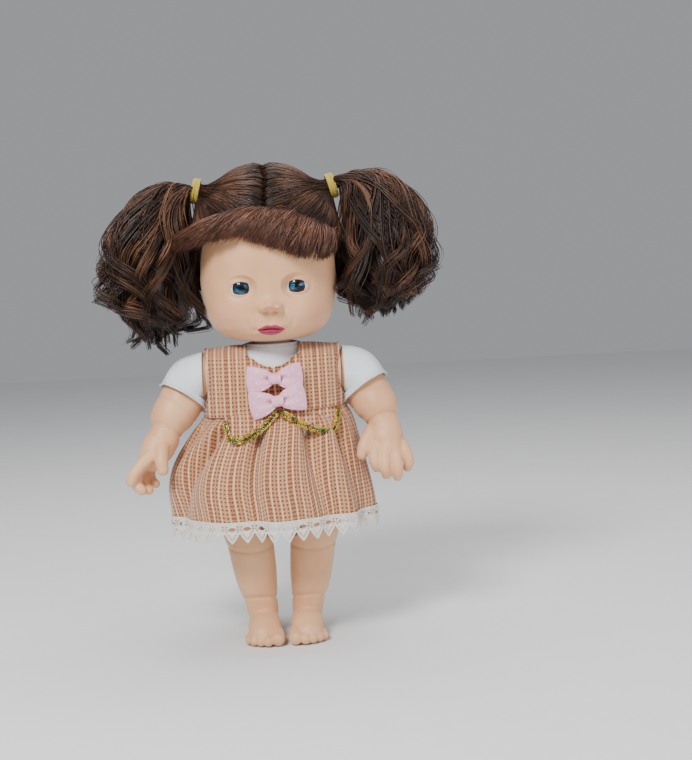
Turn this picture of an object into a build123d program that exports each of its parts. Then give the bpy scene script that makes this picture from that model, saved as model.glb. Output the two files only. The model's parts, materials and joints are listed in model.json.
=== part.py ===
from build123d import *
import math
import os

# Interactive baby doll, about 29 cm tall, standing. Millimetres.
# Frame: origin on the floor between the feet, +Z up, the doll faces -Y.
# The doll's own left side is +X.

# ---- driving dimensions ----
HEAD_BOTTOM_Z = 181.0
NECK_R = 11.0  # neck post
NECK_FLANGE_R = 14.0  # flange that holds the vinyl head on its post
NECK_LIP = 3.0  # thickness of the head's lip round the post
SHOULDER = (46.0, 0.0, 161.0)  # centre of the arm's top ball, and the arm's axis
SHOULDER_R = 14.0
SHOULDER_FACE_X = 40.0  # outer face of the body's arm socket
HIP_Z = 98.0
HIP_R = 20.0  # round top of the thigh
HIP_FACE_X = 12.0  # half width of the body between the legs
SHELF_Z = 118.6  # underside of the belly above the thighs
THIGH_FLAT_Z = 66.0  # the inner thigh is flat above this height, so that it clears the body when raised
RUN_CLEAR = 0.06  # radial clearance of the neck, shoulder and hip fits
SIDE_GAP = 0.3  # gap between the faces of parts that turn on each other
WALL = 2.2  # body shell
VINYL = 2.8  # wall of the soft vinyl head and limbs
SHIRT = 1.2  # T-shirt cloth, with its fold allowance
BUTTON_Z = 124.0
BUTTON_R = 9.0
BUTTON_TRAVEL = 2.0
SPEAKER_Z = 149.0
SPEAKER_R = 13.0
CELL_R = 5.8  # LR44 cell
CELL_W = 5.4
BATTERY_Z = 125.0
BATTERY_Y = 14.5
SWITCH_Z = 104.0
EYE = (16.0, -27.5, 212.4)  # centre of the left eyeball
EYE_R = 8.5
IRIS_R = 4.8
SKIRT_TOP_Z = 139.5
SKIRT_HEM_Z = 78.0
LACE_HEM_Z = 68.5
WAIST_FLAP_GAP = 0.35
SLIM = 0.98  # how much slimmer each capsule of a limb starts

SIDES = (("left", 1), ("right", -1))

# Level outlines as (height, half width, reach to the front, reach to the back).
BODY_LEVELS = [
    (84.0, 9.0, 9.0, 9.0),
    (87.0, 16.0, 15.0, 14.0),
    (93.0, 27.0, 22.0, 21.0),
    (102.0, 35.0, 28.0, 26.5),
    (114.0, 37.0, 30.5, 27.0),
    (126.0, 36.5, 30.0, 26.0),
    (138.0, 35.5, 27.5, 25.0),
    (150.0, 36.0, 25.0, 24.0),
    (160.0, 37.5, 23.0, 22.5),
    (167.0, 36.5, 20.0, 20.0),
    (171.5, 31.5, 16.5, 17.0),
    (174.5, 22.5, 13.5, 13.5),
    (175.5, 15.0, 12.0, 12.0),
]
BODICE_LEVELS = [
    (SKIRT_TOP_Z + 0.1, 42.0, 31.0, 29.5),
    (150.0, 40.5, 29.0, 27.5),
    (160.0, 40.0, 27.0, 26.5),
    (167.0, 39.3, 24.0, 24.5),
    (172.5, 35.5, 20.0, 20.5),
    (176.5, 26.5, 16.0, 16.5),
    (178.3, 17.5, 13.5, 14.0),
]
SKIRT_LEVELS = [
    (LACE_HEM_Z, 62.0, 48.4, 48.4),
    (SKIRT_HEM_Z, 61.0, 48.0, 48.0),
    (105.0, 54.5, 42.0, 41.0),
    (125.0, 47.0, 35.5, 33.5),
    (SKIRT_TOP_Z, 42.0, 31.0, 29.5),
]
HEAD_LEVELS = [
    (HEAD_BOTTOM_Z, 16.0, 24.0, 15.5),
    (183.2, 22.0, 29.5, 19.5),
    (188.0, 29.5, 35.0, 24.5),
    (195.0, 35.0, 38.5, 30.0),
    (205.0, 39.0, 40.0, 36.5),
    (218.0, 40.5, 40.3, 40.5),
    (232.0, 40.5, 40.5, 42.0),
    (246.0, 38.0, 38.5, 41.0),
    (258.0, 33.0, 33.5, 37.0),
    (268.0, 25.0, 25.5, 28.5),
    (275.0, 15.0, 15.5, 18.0),
    (278.5, 6.0, 6.0, 8.0),
]


# ---- small makers ----
def save(shape, node):
    export_step(shape, f"parts/{node}.step")


def box(low, high):
    size = [b - a for a, b in zip(low, high)]
    middle = [(a + b) / 2 for a, b in zip(low, high)]
    return Pos(*middle) * Box(*size)


def sorted_box(a, b):
    """Low and high corners of the box between two opposite corners."""
    return tuple(map(min, zip(a, b))), tuple(map(max, zip(a, b)))


def ball(point, radius):
    return Pos(*point) * Sphere(radius)


def rod(start, end, radius, end_radius=None):
    """Cylinder, or cone, whose axis runs from one point to another."""
    along = Vector(*end) - Vector(*start)
    seat = Plane(origin=start, z_dir=along)
    fit = (Align.CENTER, Align.CENTER, Align.MIN)
    if end_radius is None or abs(end_radius - radius) < 1e-6:
        return seat * Cylinder(radius, along.length, align=fit)
    return seat * Cone(radius, end_radius, along.length, align=fit)


def capsule(start, end, radius, end_radius):
    """Two balls and the cone that touches both, as one turned solid."""
    along = Vector(*end) - Vector(*start)
    lean = math.asin((radius - end_radius) / along.length)
    low = (radius * math.cos(lean), radius * math.sin(lean))
    high = (end_radius * math.cos(lean), along.length + end_radius * math.sin(lean))
    half = (lean - math.pi / 2) / 2
    low_arc = ThreePointArc((0, -radius), (radius * math.cos(half), radius * math.sin(half)), low)
    half = (lean + math.pi / 2) / 2
    high_arc = ThreePointArc(
        high, (end_radius * math.cos(half), along.length + end_radius * math.sin(half)),
        (0, along.length + end_radius))
    outline = low_arc + Line(low, high) + high_arc + Line((0, along.length + end_radius), (0, -radius))
    turned = revolve(Plane.XZ * make_face(outline), Axis.Z)
    return Plane(origin=start, z_dir=along) * turned


def limb(points):
    """Chain of capsules, each starting a little slimmer inside the one before. points are (x, y, z, radius)."""
    shape = None
    for before, after in zip(points, points[1:]):
        slim = 1.0 if shape is None else SLIM
        piece = capsule(before[:3], after[:3], before[3] * slim, after[3])
        shape = piece if shape is None else shape + piece
    return shape


def level_loft(levels, grow=0.0, rise=None):
    """Smooth solid through ellipses, grown outwards and past both ends."""
    rise = grow if rise is None else rise
    low, high = levels[0][0], levels[-1][0]
    middle, half = (low + high) / 2, (high - low) / 2
    faces = []
    for z, half_x, front, back in levels:
        lift = rise * (z - middle) / half
        place = Plane.XY.offset(z + lift) * Pos(0, (back - front) / 2)
        faces.append(place * Ellipse(half_x + grow, (front + back) / 2 + grow))
    return loft(faces)


def mirrored(shape, side):
    return shape if side > 0 else mirror(shape, about=Plane.YZ)


def wire_lead(points, radius, bend):
    """Insulated lead: straight runs joined by tangent arcs."""
    path = FilletPolyline(*points, radius=bend)
    start = Plane(origin=path @ 0, z_dir=path % 0)
    return sweep(start * Circle(radius), path=path)


# ---- body ----
body_outer = level_loft(BODY_LEVELS)
body_inner = level_loft(BODY_LEVELS, -WALL)
FRONT_HALF = box((-80, -80, 60), (80, -0.05, 200))
BACK_HALF = box((-80, 0.05, 60), (80, 80, 200))
SCREW_SITES = [(-26, 141), (26, 141), (-19, 168), (19, 168), (0, 90)]


def body_shell():
    """Whole body before it is split into a front and a back half."""
    shell = body_outer - body_inner
    shell += rod((0, 0, 172), (0, 0, HEAD_BOTTOM_Z + NECK_LIP + SIDE_GAP), NECK_R)
    shell -= rod((0, 0, 165), (0, 0, 190), NECK_R - WALL)
    for _, side in SIDES:
        face = side * SHOULDER_FACE_X
        inside = side * (SHOULDER_FACE_X - 9.0)
        boss = rod((inside, 0, SHOULDER[2]), (face, 0, SHOULDER[2]), SHOULDER_R + 1.5)
        shell += boss
        flange_end = side * (SHOULDER_FACE_X - 3.4)
        shell -= rod((inside * 0.9, 0, SHOULDER[2]), (flange_end, 0, SHOULDER[2]), 13.0)
        shell -= rod((inside, 0, SHOULDER[2]), (face * 1.1, 0, SHOULDER[2]), 9.0 + RUN_CLEAR)
        # the belly ends above the thighs, and a narrow piece hangs between the legs
        shell -= box(*sorted_box((side * HIP_FACE_X, -60, 60), (side * 70, 60, SHELF_Z)))
    shelf = body_outer & box((-70, -60, SHELF_Z), (70, 60, SHELF_Z + WALL))
    shelf -= box((-HIP_FACE_X + WALL, -60, 60), (HIP_FACE_X - WALL, 60, 140))
    shell += shelf
    for _, side in SIDES:
        cheek = body_outer & box(*sorted_box(
            (side * (HIP_FACE_X - WALL), -60, 60), (side * HIP_FACE_X, 60, SHELF_Z + WALL)))
        shell += cheek
        hole_in = side * (HIP_FACE_X - WALL - 1)
        shell -= rod((hole_in, 0, HIP_Z), (side * 20, 0, HIP_Z), 7.0 + RUN_CLEAR)
    return shell


shell = body_shell()
battery_door = box((-13.5, 21.8, BATTERY_Z - 8), (13.5, 60, BATTERY_Z + 8))
battery_door += box((-5.0, 21.8, BATTERY_Z - 14), (5.0, 60, BATTERY_Z - 7))
door_opening = box((-13.8, 15, BATTERY_Z - 8.3), (13.8, 60, BATTERY_Z + 8.3))
door_opening += box((-5.3, 21.5, BATTERY_Z - 14.3), (5.3, 60, BATTERY_Z - 7))
DOOR_SCREW_Z = BATTERY_Z - 11.0


def front_boss(x, z):
    post = rod((x, -45, z), (x, -0.05, z), 3.2) & body_outer
    return post - rod((x, -9.0, z), (x, 1, z), 1.05)


def back_boss(x, z):
    return rod((x, 0.05, z), (x, 45, z), 3.9) & body_outer


torso_front = shell & FRONT_HALF
torso_back = shell & BACK_HALF
for site in SCREW_SITES:
    torso_front += front_boss(*site)
    torso_back += back_boss(*site)
for x, z in SCREW_SITES:
    torso_back -= rod((x, 6.0, z), (x, 60, z), 2.7)
    torso_back -= rod((x, -1, z), (x, 8, z), 1.25)

# sound button hole in the belly
torso_front -= rod((0, -60, BUTTON_Z), (0, -18, BUTTON_Z), BUTTON_R + 0.25)
torso_front -= rod((0, -25.6, BUTTON_Z), (0, -15.5, BUTTON_Z), BUTTON_R + 2.1)
# speaker grille: a centre hole and two rings of holes
GRILLE_RINGS = [(0.0, 1), (4.2, 6), (8.4, 12)]
for ring_r, count in GRILLE_RINGS:
    for step in range(count):
        turn = 2 * math.pi * step / count
        x, z = ring_r * math.sin(turn), SPEAKER_Z + ring_r * math.cos(turn)
        torso_back -= rod((x, 15, z), (x, 60, z), 1.2)
# battery doorway with a rim that the tray sits in, and the door's screw post
torso_back -= door_opening
screw_post = rod((0, 12.0, DOOR_SCREW_Z), (0, 21.4, DOOR_SCREW_Z), 3.4)
screw_post += box((-3.4, 12.0, DOOR_SCREW_Z - 3.4), (3.4, 14.0, SHELF_Z))
torso_back += box((-10.2, 19.4, BATTERY_Z - 15.4), (10.2, 21.4, BATTERY_Z - 8.4)) & body_inner
torso_back += screw_post
torso_back -= rod((0, 8.0, DOOR_SCREW_Z), (0, 30.0, DOOR_SCREW_Z), 1.3)
torso_back -= box((-12.8, 7.8, BATTERY_Z - 7.6), (12.8, 21.5, BATTERY_Z + 7.6))
# slot for the power switch
torso_back -= box((-5.2, 15, SWITCH_Z - 2.2), (5.2, 60, SWITCH_Z + 2.2))
save(torso_front, "torso_front")
save(torso_back, "torso_back")

neck_top = HEAD_BOTTOM_Z + NECK_LIP + SIDE_GAP
neck_ring = rod((0, 0, neck_top), (0, 0, neck_top + 2.6), NECK_FLANGE_R)
neck_ring += rod((0, 0, neck_top - 5.0), (0, 0, neck_top), NECK_R - WALL - 0.05)
neck_ring -= rod((0, 0, neck_top - 6), (0, 0, neck_top + 4), 5.0)
save(neck_ring, "neck_ring")

screws = []
for x, z in SCREW_SITES:
    screws.append(rod((x, -8.0, z), (x, 6.1, z), 1.0) + rod((x, 6.1, z), (x, 8.0, z), 2.4))
save(Compound(children=screws), "body_screws")

# ---- sound button ----
BUTTON_FRONT_Y = -28.4
GUIDE_FLOOR_Y = -17.5
button = rod((0, BUTTON_FRONT_Y, BUTTON_Z), (0, BUTTON_FRONT_Y + 2.4, BUTTON_Z), BUTTON_R)
STEM_END_Y = -13.0
button += rod((0, BUTTON_FRONT_Y + 2, BUTTON_Z), (0, STEM_END_Y, BUTTON_Z), 2.6)
save(button, "sound_button")
guide = rod((0, -25.5, BUTTON_Z), (0, GUIDE_FLOOR_Y + 1.6, BUTTON_Z), BUTTON_R + 1.9)
guide -= rod((0, -26, BUTTON_Z), (0, GUIDE_FLOOR_Y, BUTTON_Z), BUTTON_R + 0.3)
guide -= rod((0, -26, BUTTON_Z), (0, -10, BUTTON_Z), 2.9)
guide = guide & body_inner
save(guide, "button_guide")
SPRING_R, SPRING_WIRE_R = 5.5, 0.45
spring_low_y = BUTTON_FRONT_Y + 2.4 + SPRING_WIRE_R + 0.1
spring_len = GUIDE_FLOOR_Y - spring_low_y - SPRING_WIRE_R - 0.1
coil = Helix(pitch=spring_len / 4, height=spring_len, radius=SPRING_R)
coil_start = Plane(origin=coil @ 0, z_dir=coil % 0)
spring = sweep(coil_start * Circle(SPRING_WIRE_R), path=coil)
spring = Pos(0, spring_low_y, BUTTON_Z) * Rot(X=-90) * spring
save(spring, "button_spring")

# ---- sound module ----
BOARD_Y = -7.0
board = box((-17, BOARD_Y - 1.2, SHELF_Z + 2.4), (17, BOARD_Y, 149.0))
BOARD_SCREWS = [(-14, 145.5), (14, 145.5)]
for x, z in BOARD_SCREWS:
    board -= rod((x, BOARD_Y - 3, z), (x, BOARD_Y + 3, z), 1.3)
save(board, "circuit_board")
tact_top = STEM_END_Y + BUTTON_TRAVEL + 0.06
tact_body = BOARD_Y - 3.4
tact = box((-3, tact_body, BUTTON_Z - 3), (3, BOARD_Y - 1.2, BUTTON_Z + 3))
tact += rod((0, tact_top, BUTTON_Z), (0, tact_body, BUTTON_Z), 1.7)
tact -= rod((0, tact_top - 0.1, BUTTON_Z), (0, tact_top + 0.1, BUTTON_Z), 1.0)
save(tact, "button_switch")
chip = rod((0, BOARD_Y, 134), (0, BOARD_Y + 1.6, 134), 5.0, 3.4)
save(chip, "sound_chip")
board_screws = []
for x, z in BOARD_SCREWS:
    lug = rod((x, BOARD_Y - 7.0, z), (x, BOARD_Y, z), 1.0)
    board_screws.append(lug + rod((x, BOARD_Y, z), (x, BOARD_Y + 1.5, z), 2.1))
save(Compound(children=board_screws), "board_screws")

SPEAKER_FRONT_Y = 18.4
frame_ring = rod((0, SPEAKER_FRONT_Y - 4.4, SPEAKER_Z), (0, SPEAKER_FRONT_Y, SPEAKER_Z), 9.0, SPEAKER_R)
frame_ring -= rod((0, SPEAKER_FRONT_Y - 3.4, SPEAKER_Z), (0, SPEAKER_FRONT_Y + 1, SPEAKER_Z), 8.0, 13.2)
frame_ring += rod((0, SPEAKER_FRONT_Y - 0.8, SPEAKER_Z), (0, SPEAKER_FRONT_Y, SPEAKER_Z), SPEAKER_R)
frame_ring -= rod((0, SPEAKER_FRONT_Y - 1.0, SPEAKER_Z), (0, SPEAKER_FRONT_Y + 1, SPEAKER_Z), 11.6)
save(frame_ring, "speaker_frame")
cone = rod((0, SPEAKER_FRONT_Y - 2.4, SPEAKER_Z), (0, SPEAKER_FRONT_Y - 0.2, SPEAKER_Z), 5.0, 11.0)
cone -= rod((0, SPEAKER_FRONT_Y - 1.8, SPEAKER_Z), (0, SPEAKER_FRONT_Y + 0.4, SPEAKER_Z), 5.0, 11.0)
save(cone, "speaker_cone")
magnet = rod((0, SPEAKER_FRONT_Y - 9.0, SPEAKER_Z), (0, SPEAKER_FRONT_Y - 4.4, SPEAKER_Z), 7.5)
save(magnet, "speaker_magnet")

# ---- batteries ----
tray = box((-12.6, 8.0, BATTERY_Z - 7.4), (12.6, 21.4, BATTERY_Z + 7.4))
tray -= box((-10.4, 8.9, BATTERY_Z - 6.1), (10.4, 22, BATTERY_Z + 6.1))
save(tray, "battery_tray")
cells = []
for step in (-1, 0, 1):
    middle = step * CELL_W
    low, high = middle - CELL_W / 2, middle + CELL_W / 2
    cell = rod((low + 0.05, BATTERY_Y + 0.3, BATTERY_Z), (high - 0.3, BATTERY_Y + 0.3, BATTERY_Z), CELL_R - 0.05)
    cell += rod((high - 0.3, BATTERY_Y + 0.3, BATTERY_Z), (high, BATTERY_Y + 0.3, BATTERY_Z), 4.2)
    cells.append(cell)
save(Compound(children=cells), "button_cells")
contacts = []
for _, side in SIDES:
    plate = box(*sorted_box((side * 9.9, 10, BATTERY_Z - 4), (side * 10.3, 20, BATTERY_Z + 4)))
    dome = rod((side * 9.9, BATTERY_Y, BATTERY_Z), (side * 8.3, BATTERY_Y, BATTERY_Z), 3.2, 1.6)
    contacts.append(plate + dome)
save(Compound(children=contacts), "battery_contacts")

door = (battery_door & body_outer) - rod((0, 15, DOOR_SCREW_Z), (0, 60, DOOR_SCREW_Z), 1.3)
door -= rod((0, 23.4, DOOR_SCREW_Z), (0, 60, DOOR_SCREW_Z), 2.4)
save(door, "battery_cover")
door_screw = rod((0, 14.0, DOOR_SCREW_Z), (0, 23.5, DOOR_SCREW_Z), 1.0)
door_screw += rod((0, 23.5, DOOR_SCREW_Z), (0, 25.2, DOOR_SCREW_Z), 2.1)
save(door_screw, "battery_cover_screw")

# ---- power switch ----
switch_body = box((-7.4, 13.5, SWITCH_Z - 3.4), (7.4, 19.5, SWITCH_Z + 3.4))
switch_body -= box((-4.9, 17.0, SWITCH_Z - 1.8), (4.9, 20, SWITCH_Z + 1.8))
save(switch_body & body_inner, "switch_body")
knob = box((-4.2, 17.6, SWITCH_Z - 1.5), (-0.2, 25.2, SWITCH_Z + 1.5))
knob = fillet(knob.edges().filter_by(Axis.Z).group_by(Axis.Y)[-1], 0.6)
save(knob, "switch_knob")

# ---- leads held inside the body ----
LEAD_R = 0.55
speaker_leads, battery_leads = [], []
for _, side in SIDES:
    x = side * 6.0
    speaker_leads.append(wire_lead(
        [(x, 9.6, 142.2), (x, 5.0, 139.0), (x, -1.0, 139.5), (x, BOARD_Y + 0.5, 143.0)], LEAD_R, 2.0))
    x = side * 13.2
    battery_leads.append(wire_lead(
        [(x, 10.0, 128.0), (x, 4.0, 130.5), (x, -2.0, 129.5), (x, BOARD_Y + 0.5, 127.0)], LEAD_R, 2.0))
save(Compound(children=speaker_leads), "speaker_leads")
save(Compound(children=battery_leads), "battery_leads")

# ---- arms and sleeves ----
ARM_CHAIN = {
    "left": [(*SHOULDER, SHOULDER_R), (53, 0, 152, 13.5), (59, -4, 143, 13.2),
             (62.5, -9, 135.5, 11.8), (63.5, -12, 129.5, 10.2)],
    "right": [(*SHOULDER, SHOULDER_R), (52.5, 0, 152, 13.3), (58.5, -4, 143, 13.0),
              (63, -9, 136, 11.6), (65.5, -12, 129.5, 10.0)],
}
# palm and fingers: (knuckle, middle joint, tip), x is measured outwards on either side
FINGER_CHAINS = {
    "left": [
        [(60.5, -15, 126, 8.5), (57.5, -22, 114, 6.2), (57.0, -26.5, 108.5, 4.4)],
        [(63.0, -15, 126, 8.5), (62.8, -24, 112, 6.2), (61.8, -28.0, 103.5, 4.4)],
        [(66.0, -15, 126, 8.5), (68.4, -24, 112, 6.0), (69.0, -27.0, 102.0, 4.4)],
        [(67.5, -14, 126, 8.0), (73.0, -22, 113, 5.4), (75.2, -24.0, 106.5, 3.9)],
        [(58.0, -17, 124, 6.5), (52.6, -21, 117.5, 4.9), (51.0, -22.5, 114.0, 4.4)],
    ],
    "right": [
        [(66.0, -16, 126, 8.5), (77.0, -25, 114, 6.0), (84.0, -27.0, 105.5, 4.4)],
        [(67.0, -14, 126, 8.5), (79.5, -20, 112, 6.0), (82.5, -24.0, 100.0, 4.4)],
        [(67.0, -12, 126, 8.5), (79.5, -15, 111, 6.0), (79.5, -18.5, 98.2, 4.4)],
        [(66.5, -11, 126, 8.0), (77.5, -11, 112, 5.4), (76.0, -13.0, 101.0, 3.9)],
        [(66.0, -20, 124, 6.5), (67.6, -26, 116, 5.0), (67.6, -27.5, 112.0, 4.5)],
    ],
}
NECK_OF_ARM_R = 9.0
ARM_FLANGE_R = 12.6


def arm_solid(name):
    arm = limb(ARM_CHAIN[name])
    for chain in FINGER_CHAINS[name]:
        arm += limb(chain)
    cut_x = SHOULDER_FACE_X + SIDE_GAP
    arm -= box((0, -60, 60), (cut_x, 60, 220))
    arm += rod((cut_x + 1, 0, SHOULDER[2]), (SHOULDER_FACE_X - 5, 0, SHOULDER[2]), NECK_OF_ARM_R)
    arm += rod((SHOULDER_FACE_X - 3.6, 0, SHOULDER[2]), (SHOULDER_FACE_X - 6.4, 0, SHOULDER[2]), ARM_FLANGE_R)
    hollow = [(x, y, z, r - VINYL) for x, y, z, r in ARM_CHAIN[name]]
    arm -= limb(hollow) & box((cut_x + VINYL, -60, 60), (120, 60, 220))
    arm -= rod((SHOULDER_FACE_X - 8, 0, SHOULDER[2]), (SHOULDER_FACE_X + 6, 0, SHOULDER[2]), 5.0)
    return arm


# the hem lies in a plane square to the upper arm
HEM_POINT = (55.0, 0.0, 151.0)
HEM_NORMAL = (0.58, 0.0, -0.815)


def sleeve_solid(name):
    chain = ARM_CHAIN[name][:4]
    wide = [(x, y, z, r + 0.6 + SHIRT + 0.35 * i) for i, (x, y, z, r) in enumerate(chain)]
    snug = [(x, y, z, r + 0.5 + 0.35 * i) for i, (x, y, z, r) in enumerate(chain)]
    sleeve = limb(wide) - limb(snug)
    sleeve -= box((0, -60, 60), (SHOULDER_FACE_X + 1.4, 60, 220))
    below = Plane(origin=HEM_POINT, z_dir=HEM_NORMAL)
    fit = (Align.CENTER, Align.CENTER, Align.MIN)
    return sleeve - below * Box(120, 120, 80, align=fit)


for name, side in SIDES:
    save(mirrored(arm_solid(name), side), f"{name}_arm")
    save(mirrored(sleeve_solid(name), side), f"{name}_sleeve")

# ---- legs ----
LEG_CHAIN = [(23.5, 0, 96, 16.5), (20.5, -1, 62, 15.0), (17.5, 0.5, 42, 13.2), (14.2, 3.0, 19, 9.6)]
FOOT_X = 13.0
# toes as (x, y, radius), big toe first
TOES = [(5.6, -23.5, 4.5), (11.2, -24.0, 3.7), (15.6, -22.8, 3.4), (19.5, -20.8, 3.1), (22.6, -18.0, 2.8)]


def foot_solid():
    """Flat-soled foot: a hull of heel and ball outlines, an instep and five toes."""
    edges = Pos(FOOT_X, 4) * Circle(9.2) + Pos(FOOT_X, -12) * Circle(11.2)
    sole = extrude(make_hull(edges.edges()), 9.0)
    sole = fillet(sole.edges().group_by(Axis.Z)[-1], 4.0)
    sole += limb([(14.0, 2.0, 18, 9.4), (FOOT_X, -5.0, 8.5, 7.6)])
    sole += ball((FOOT_X, 5.0, 10.0), 9.2)
    for x, y, r in TOES:
        sole += limb([(x, y + 6, r * 0.95, r), (x, y, r * 0.85, r)])
    return sole - box((-50, -60, -20), (50, 60, 0))


def leg_solid():
    leg = limb(LEG_CHAIN)
    top = rod((HIP_FACE_X + SIDE_GAP, 0, HIP_Z), (30.0, 0, HIP_Z), HIP_R)
    top = fillet(top.edges().group_by(Axis.X)[-1], 9.0)
    leg += top
    leg += foot_solid()
    leg -= box((-20, -60, THIGH_FLAT_Z), (HIP_FACE_X + SIDE_GAP, 60, 140))
    leg -= box((-20, -60, -1), (0.8, 60, 140))
    hollow = [(x + shift, y, z, r - VINYL - shift) for (x, y, z, r), shift in zip(LEG_CHAIN, (2.6, 2.6, 0, 0))]
    leg -= limb(hollow)
    in_x = HIP_FACE_X - WALL
    leg += rod((HIP_FACE_X + SIDE_GAP + 1, 0, HIP_Z), (in_x - 0.2, 0, HIP_Z), 7.0)
    leg += rod((in_x - 0.15, 0, HIP_Z), (in_x - 2.6, 0, HIP_Z), 10.0)
    leg -= rod((in_x - 4, 0, HIP_Z), (24.0, 0, HIP_Z), 3.6)
    return leg


left_leg = leg_solid()
for name, side in SIDES:
    save(mirrored(left_leg, side), f"{name}_leg")

# ---- head ----
head_outer = level_loft(HEAD_LEVELS)
head_inner = level_loft(HEAD_LEVELS, -VINYL, -NECK_LIP)
head = head_outer - head_inner
head -= rod((0, 0, 170), (0, 0, HEAD_BOTTOM_Z + 12), NECK_R + RUN_CLEAR)
head -= rod((0, 0, HEAD_BOTTOM_Z + NECK_LIP), (0, 0, HEAD_BOTTOM_Z + 12), NECK_FLANGE_R + 0.6)
EYE_FRONT_Y = EYE[1] - EYE_R
POCKET_Y = EYE_FRONT_Y + 2.4
for name, side in SIDES:
    centre = (side * EYE[0], EYE[1], EYE[2])
    lids = Plane(origin=(centre[0], -50, centre[2]), z_dir=(0, 1, 0)) * Ellipse(6.3, 3.7)
    head -= extrude(lids, 22)
    head -= ball(centre, EYE_R + 0.05)
head += ball((0, -38.5, 201.5), 4.8) - head_inner
head += limb([(-5.0, -36.2, 188.2, 2.2), (5.0, -36.2, 188.2, 2.2)]) - head_inner
save(head, "head_shell")
for name, side in SIDES:
    x, y, z = side * EYE[0], EYE[1], EYE[2]
    cup = ball((x, y, z), EYE_R + 1.6) + rod((x, y, z), (x, -40, z), EYE_R + 1.6)
    cup -= ball((x, y, z), EYE_R + 0.1)
    cup -= rod((x, y, z), (x, -41, z), EYE_R + 0.1)
    save(cup & level_loft(HEAD_LEVELS, -VINYL - 0.1, -NECK_LIP - 0.1), f"{name}_eye_cup")
    pocket = rod((x, POCKET_Y, z), (x, EYE_FRONT_Y - 1, z), IRIS_R)
    save(ball((x, y, z), EYE_R) - pocket, f"{name}_eyeball")
    save(rod((x, POCKET_Y, z), (x, POCKET_Y - 0.5, z), IRIS_R), f"{name}_iris")
    lens = ball((x, y, z), EYE_R) & rod((x, POCKET_Y - 0.5, z), (x, EYE_FRONT_Y - 1, z), IRIS_R)
    save(lens, f"{name}_eye_lens")

# ---- hair ----
HAIR_THICK = 5.0
HAIR_RISE = 7.0
BAND_X, BAND_Y, BAND_Z = 41.0, 3.0, 270.0
BAND_TILT = (0.97, 0.0, 0.24)
PIGTAIL = [(52, 4, 272, 12.5), (62, 4, 265, 21.0), (74, 4, 243, 27.0), (75.5, 4, 211.5, 27.0)]
hair_outer = level_loft(HEAD_LEVELS, HAIR_THICK, HAIR_RISE)
fringe_outer = level_loft(HEAD_LEVELS, HAIR_THICK + 1.2, HAIR_RISE - 1)
# everything behind the hairline, a plane that leans back from the forehead to the nape
hairline = Plane(origin=(0, -27.0, 250.0), z_dir=(0, 0.80, 0.60))
fit_up = (Align.CENTER, Align.CENTER, Align.MIN)
behind = hairline * Box(300, 300, 150, align=fit_up)
hair_cap = ((hair_outer - head_outer) & behind) - box((-80, -80, 150), (80, 80, 194))
# the fringe's lower edge slants: higher on the doll's right, lower past the middle
front = hairline * Pos(0, 0, -0.3) * Box(300, 300, 100, align=(Align.CENTER, Align.CENTER, Align.MAX))
fringe_zone = Plane.XZ.offset(12) * make_face(Polyline(
    (-46, 300), (-46, 239), (-25, 240), (0, 234), (18, 228), (32, 229), (46, 234), (46, 300), close=True))
fringe = ((fringe_outer - head_outer) & front) & extrude(fringe_zone, 60)


def band_rod(start, end, radius):
    """Rod on the pigtail's root axis, from one distance to another out of the band's middle."""
    a = [c + start * n for c, n in zip((BAND_X + 4, BAND_Y, BAND_Z), BAND_TILT)]
    b = [c + end * n for c, n in zip((BAND_X + 4, BAND_Y, BAND_Z), BAND_TILT)]
    return rod(a, b, radius)


band = band_rod(-2.5, 2.5, 9.6) - band_rod(-3, 3, 7.4)
tail = limb(PIGTAIL) + band_rod(-14, 6, 7.3)
tail -= band_rod(-2.6, 2.6, 14) - band_rod(-3, 3, 7.3)
tail -= box((0, -60, 150), (36, 60, 300))
for name, side in SIDES:
    hair_cap -= mirrored(band_rod(-9, 20, 14.0), side)
    hair_cap -= mirrored(band_rod(-14, 2, 7.35), side)
    fringe -= mirrored(band_rod(-14, 20, 14.0), side)
tail_clean = tail - level_loft(HEAD_LEVELS, HAIR_THICK + 1.4, HAIR_RISE)
tail_clean += band_rod(-6, 4, 7.3)
tail_clean -= hair_cap
for name, side in SIDES:
    save(mirrored(tail_clean, side), f"{name}_pigtail")
    save(mirrored(band, side), f"{name}_hair_band")
save(hair_cap, "hair_cap")
save(fringe, "fringe")

# ---- T-shirt ----
SHIRT_GAP = 0.2
SHIRT_HEM_Z = 121.0
shirt = level_loft(BODY_LEVELS, SHIRT_GAP + SHIRT) - level_loft(BODY_LEVELS, SHIRT_GAP)
shirt -= box((-80, -80, 60), (80, 80, SHIRT_HEM_Z))
shirt -= rod((0, 0, 160), (0, 0, 200), 13.5)
shirt -= rod((-80, 0, SHOULDER[2]), (80, 0, SHOULDER[2]), SHOULDER_R + 2.0) - box((-28, -40, 100), (28, 40, 200))
save(shirt, "tshirt_body")
collar = Pos(0, 0, 178.8) * Torus(14.6, 1.5)
save(collar, "tshirt_collar")

# ---- pinafore ----
skirt_all = level_loft(SKIRT_LEVELS) - level_loft(SKIRT_LEVELS, -1.5, 0)
skirt = skirt_all & box((-90, -90, SKIRT_HEM_Z + 0.05), (90, 90, 200))
save(skirt, "dress_skirt")
lace = level_loft(SKIRT_LEVELS) - level_loft(SKIRT_LEVELS, -1.1, 0)
save(lace & box((-90, -90, 0), (90, 90, SKIRT_HEM_Z - 0.05)), "hem_lace")

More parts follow.
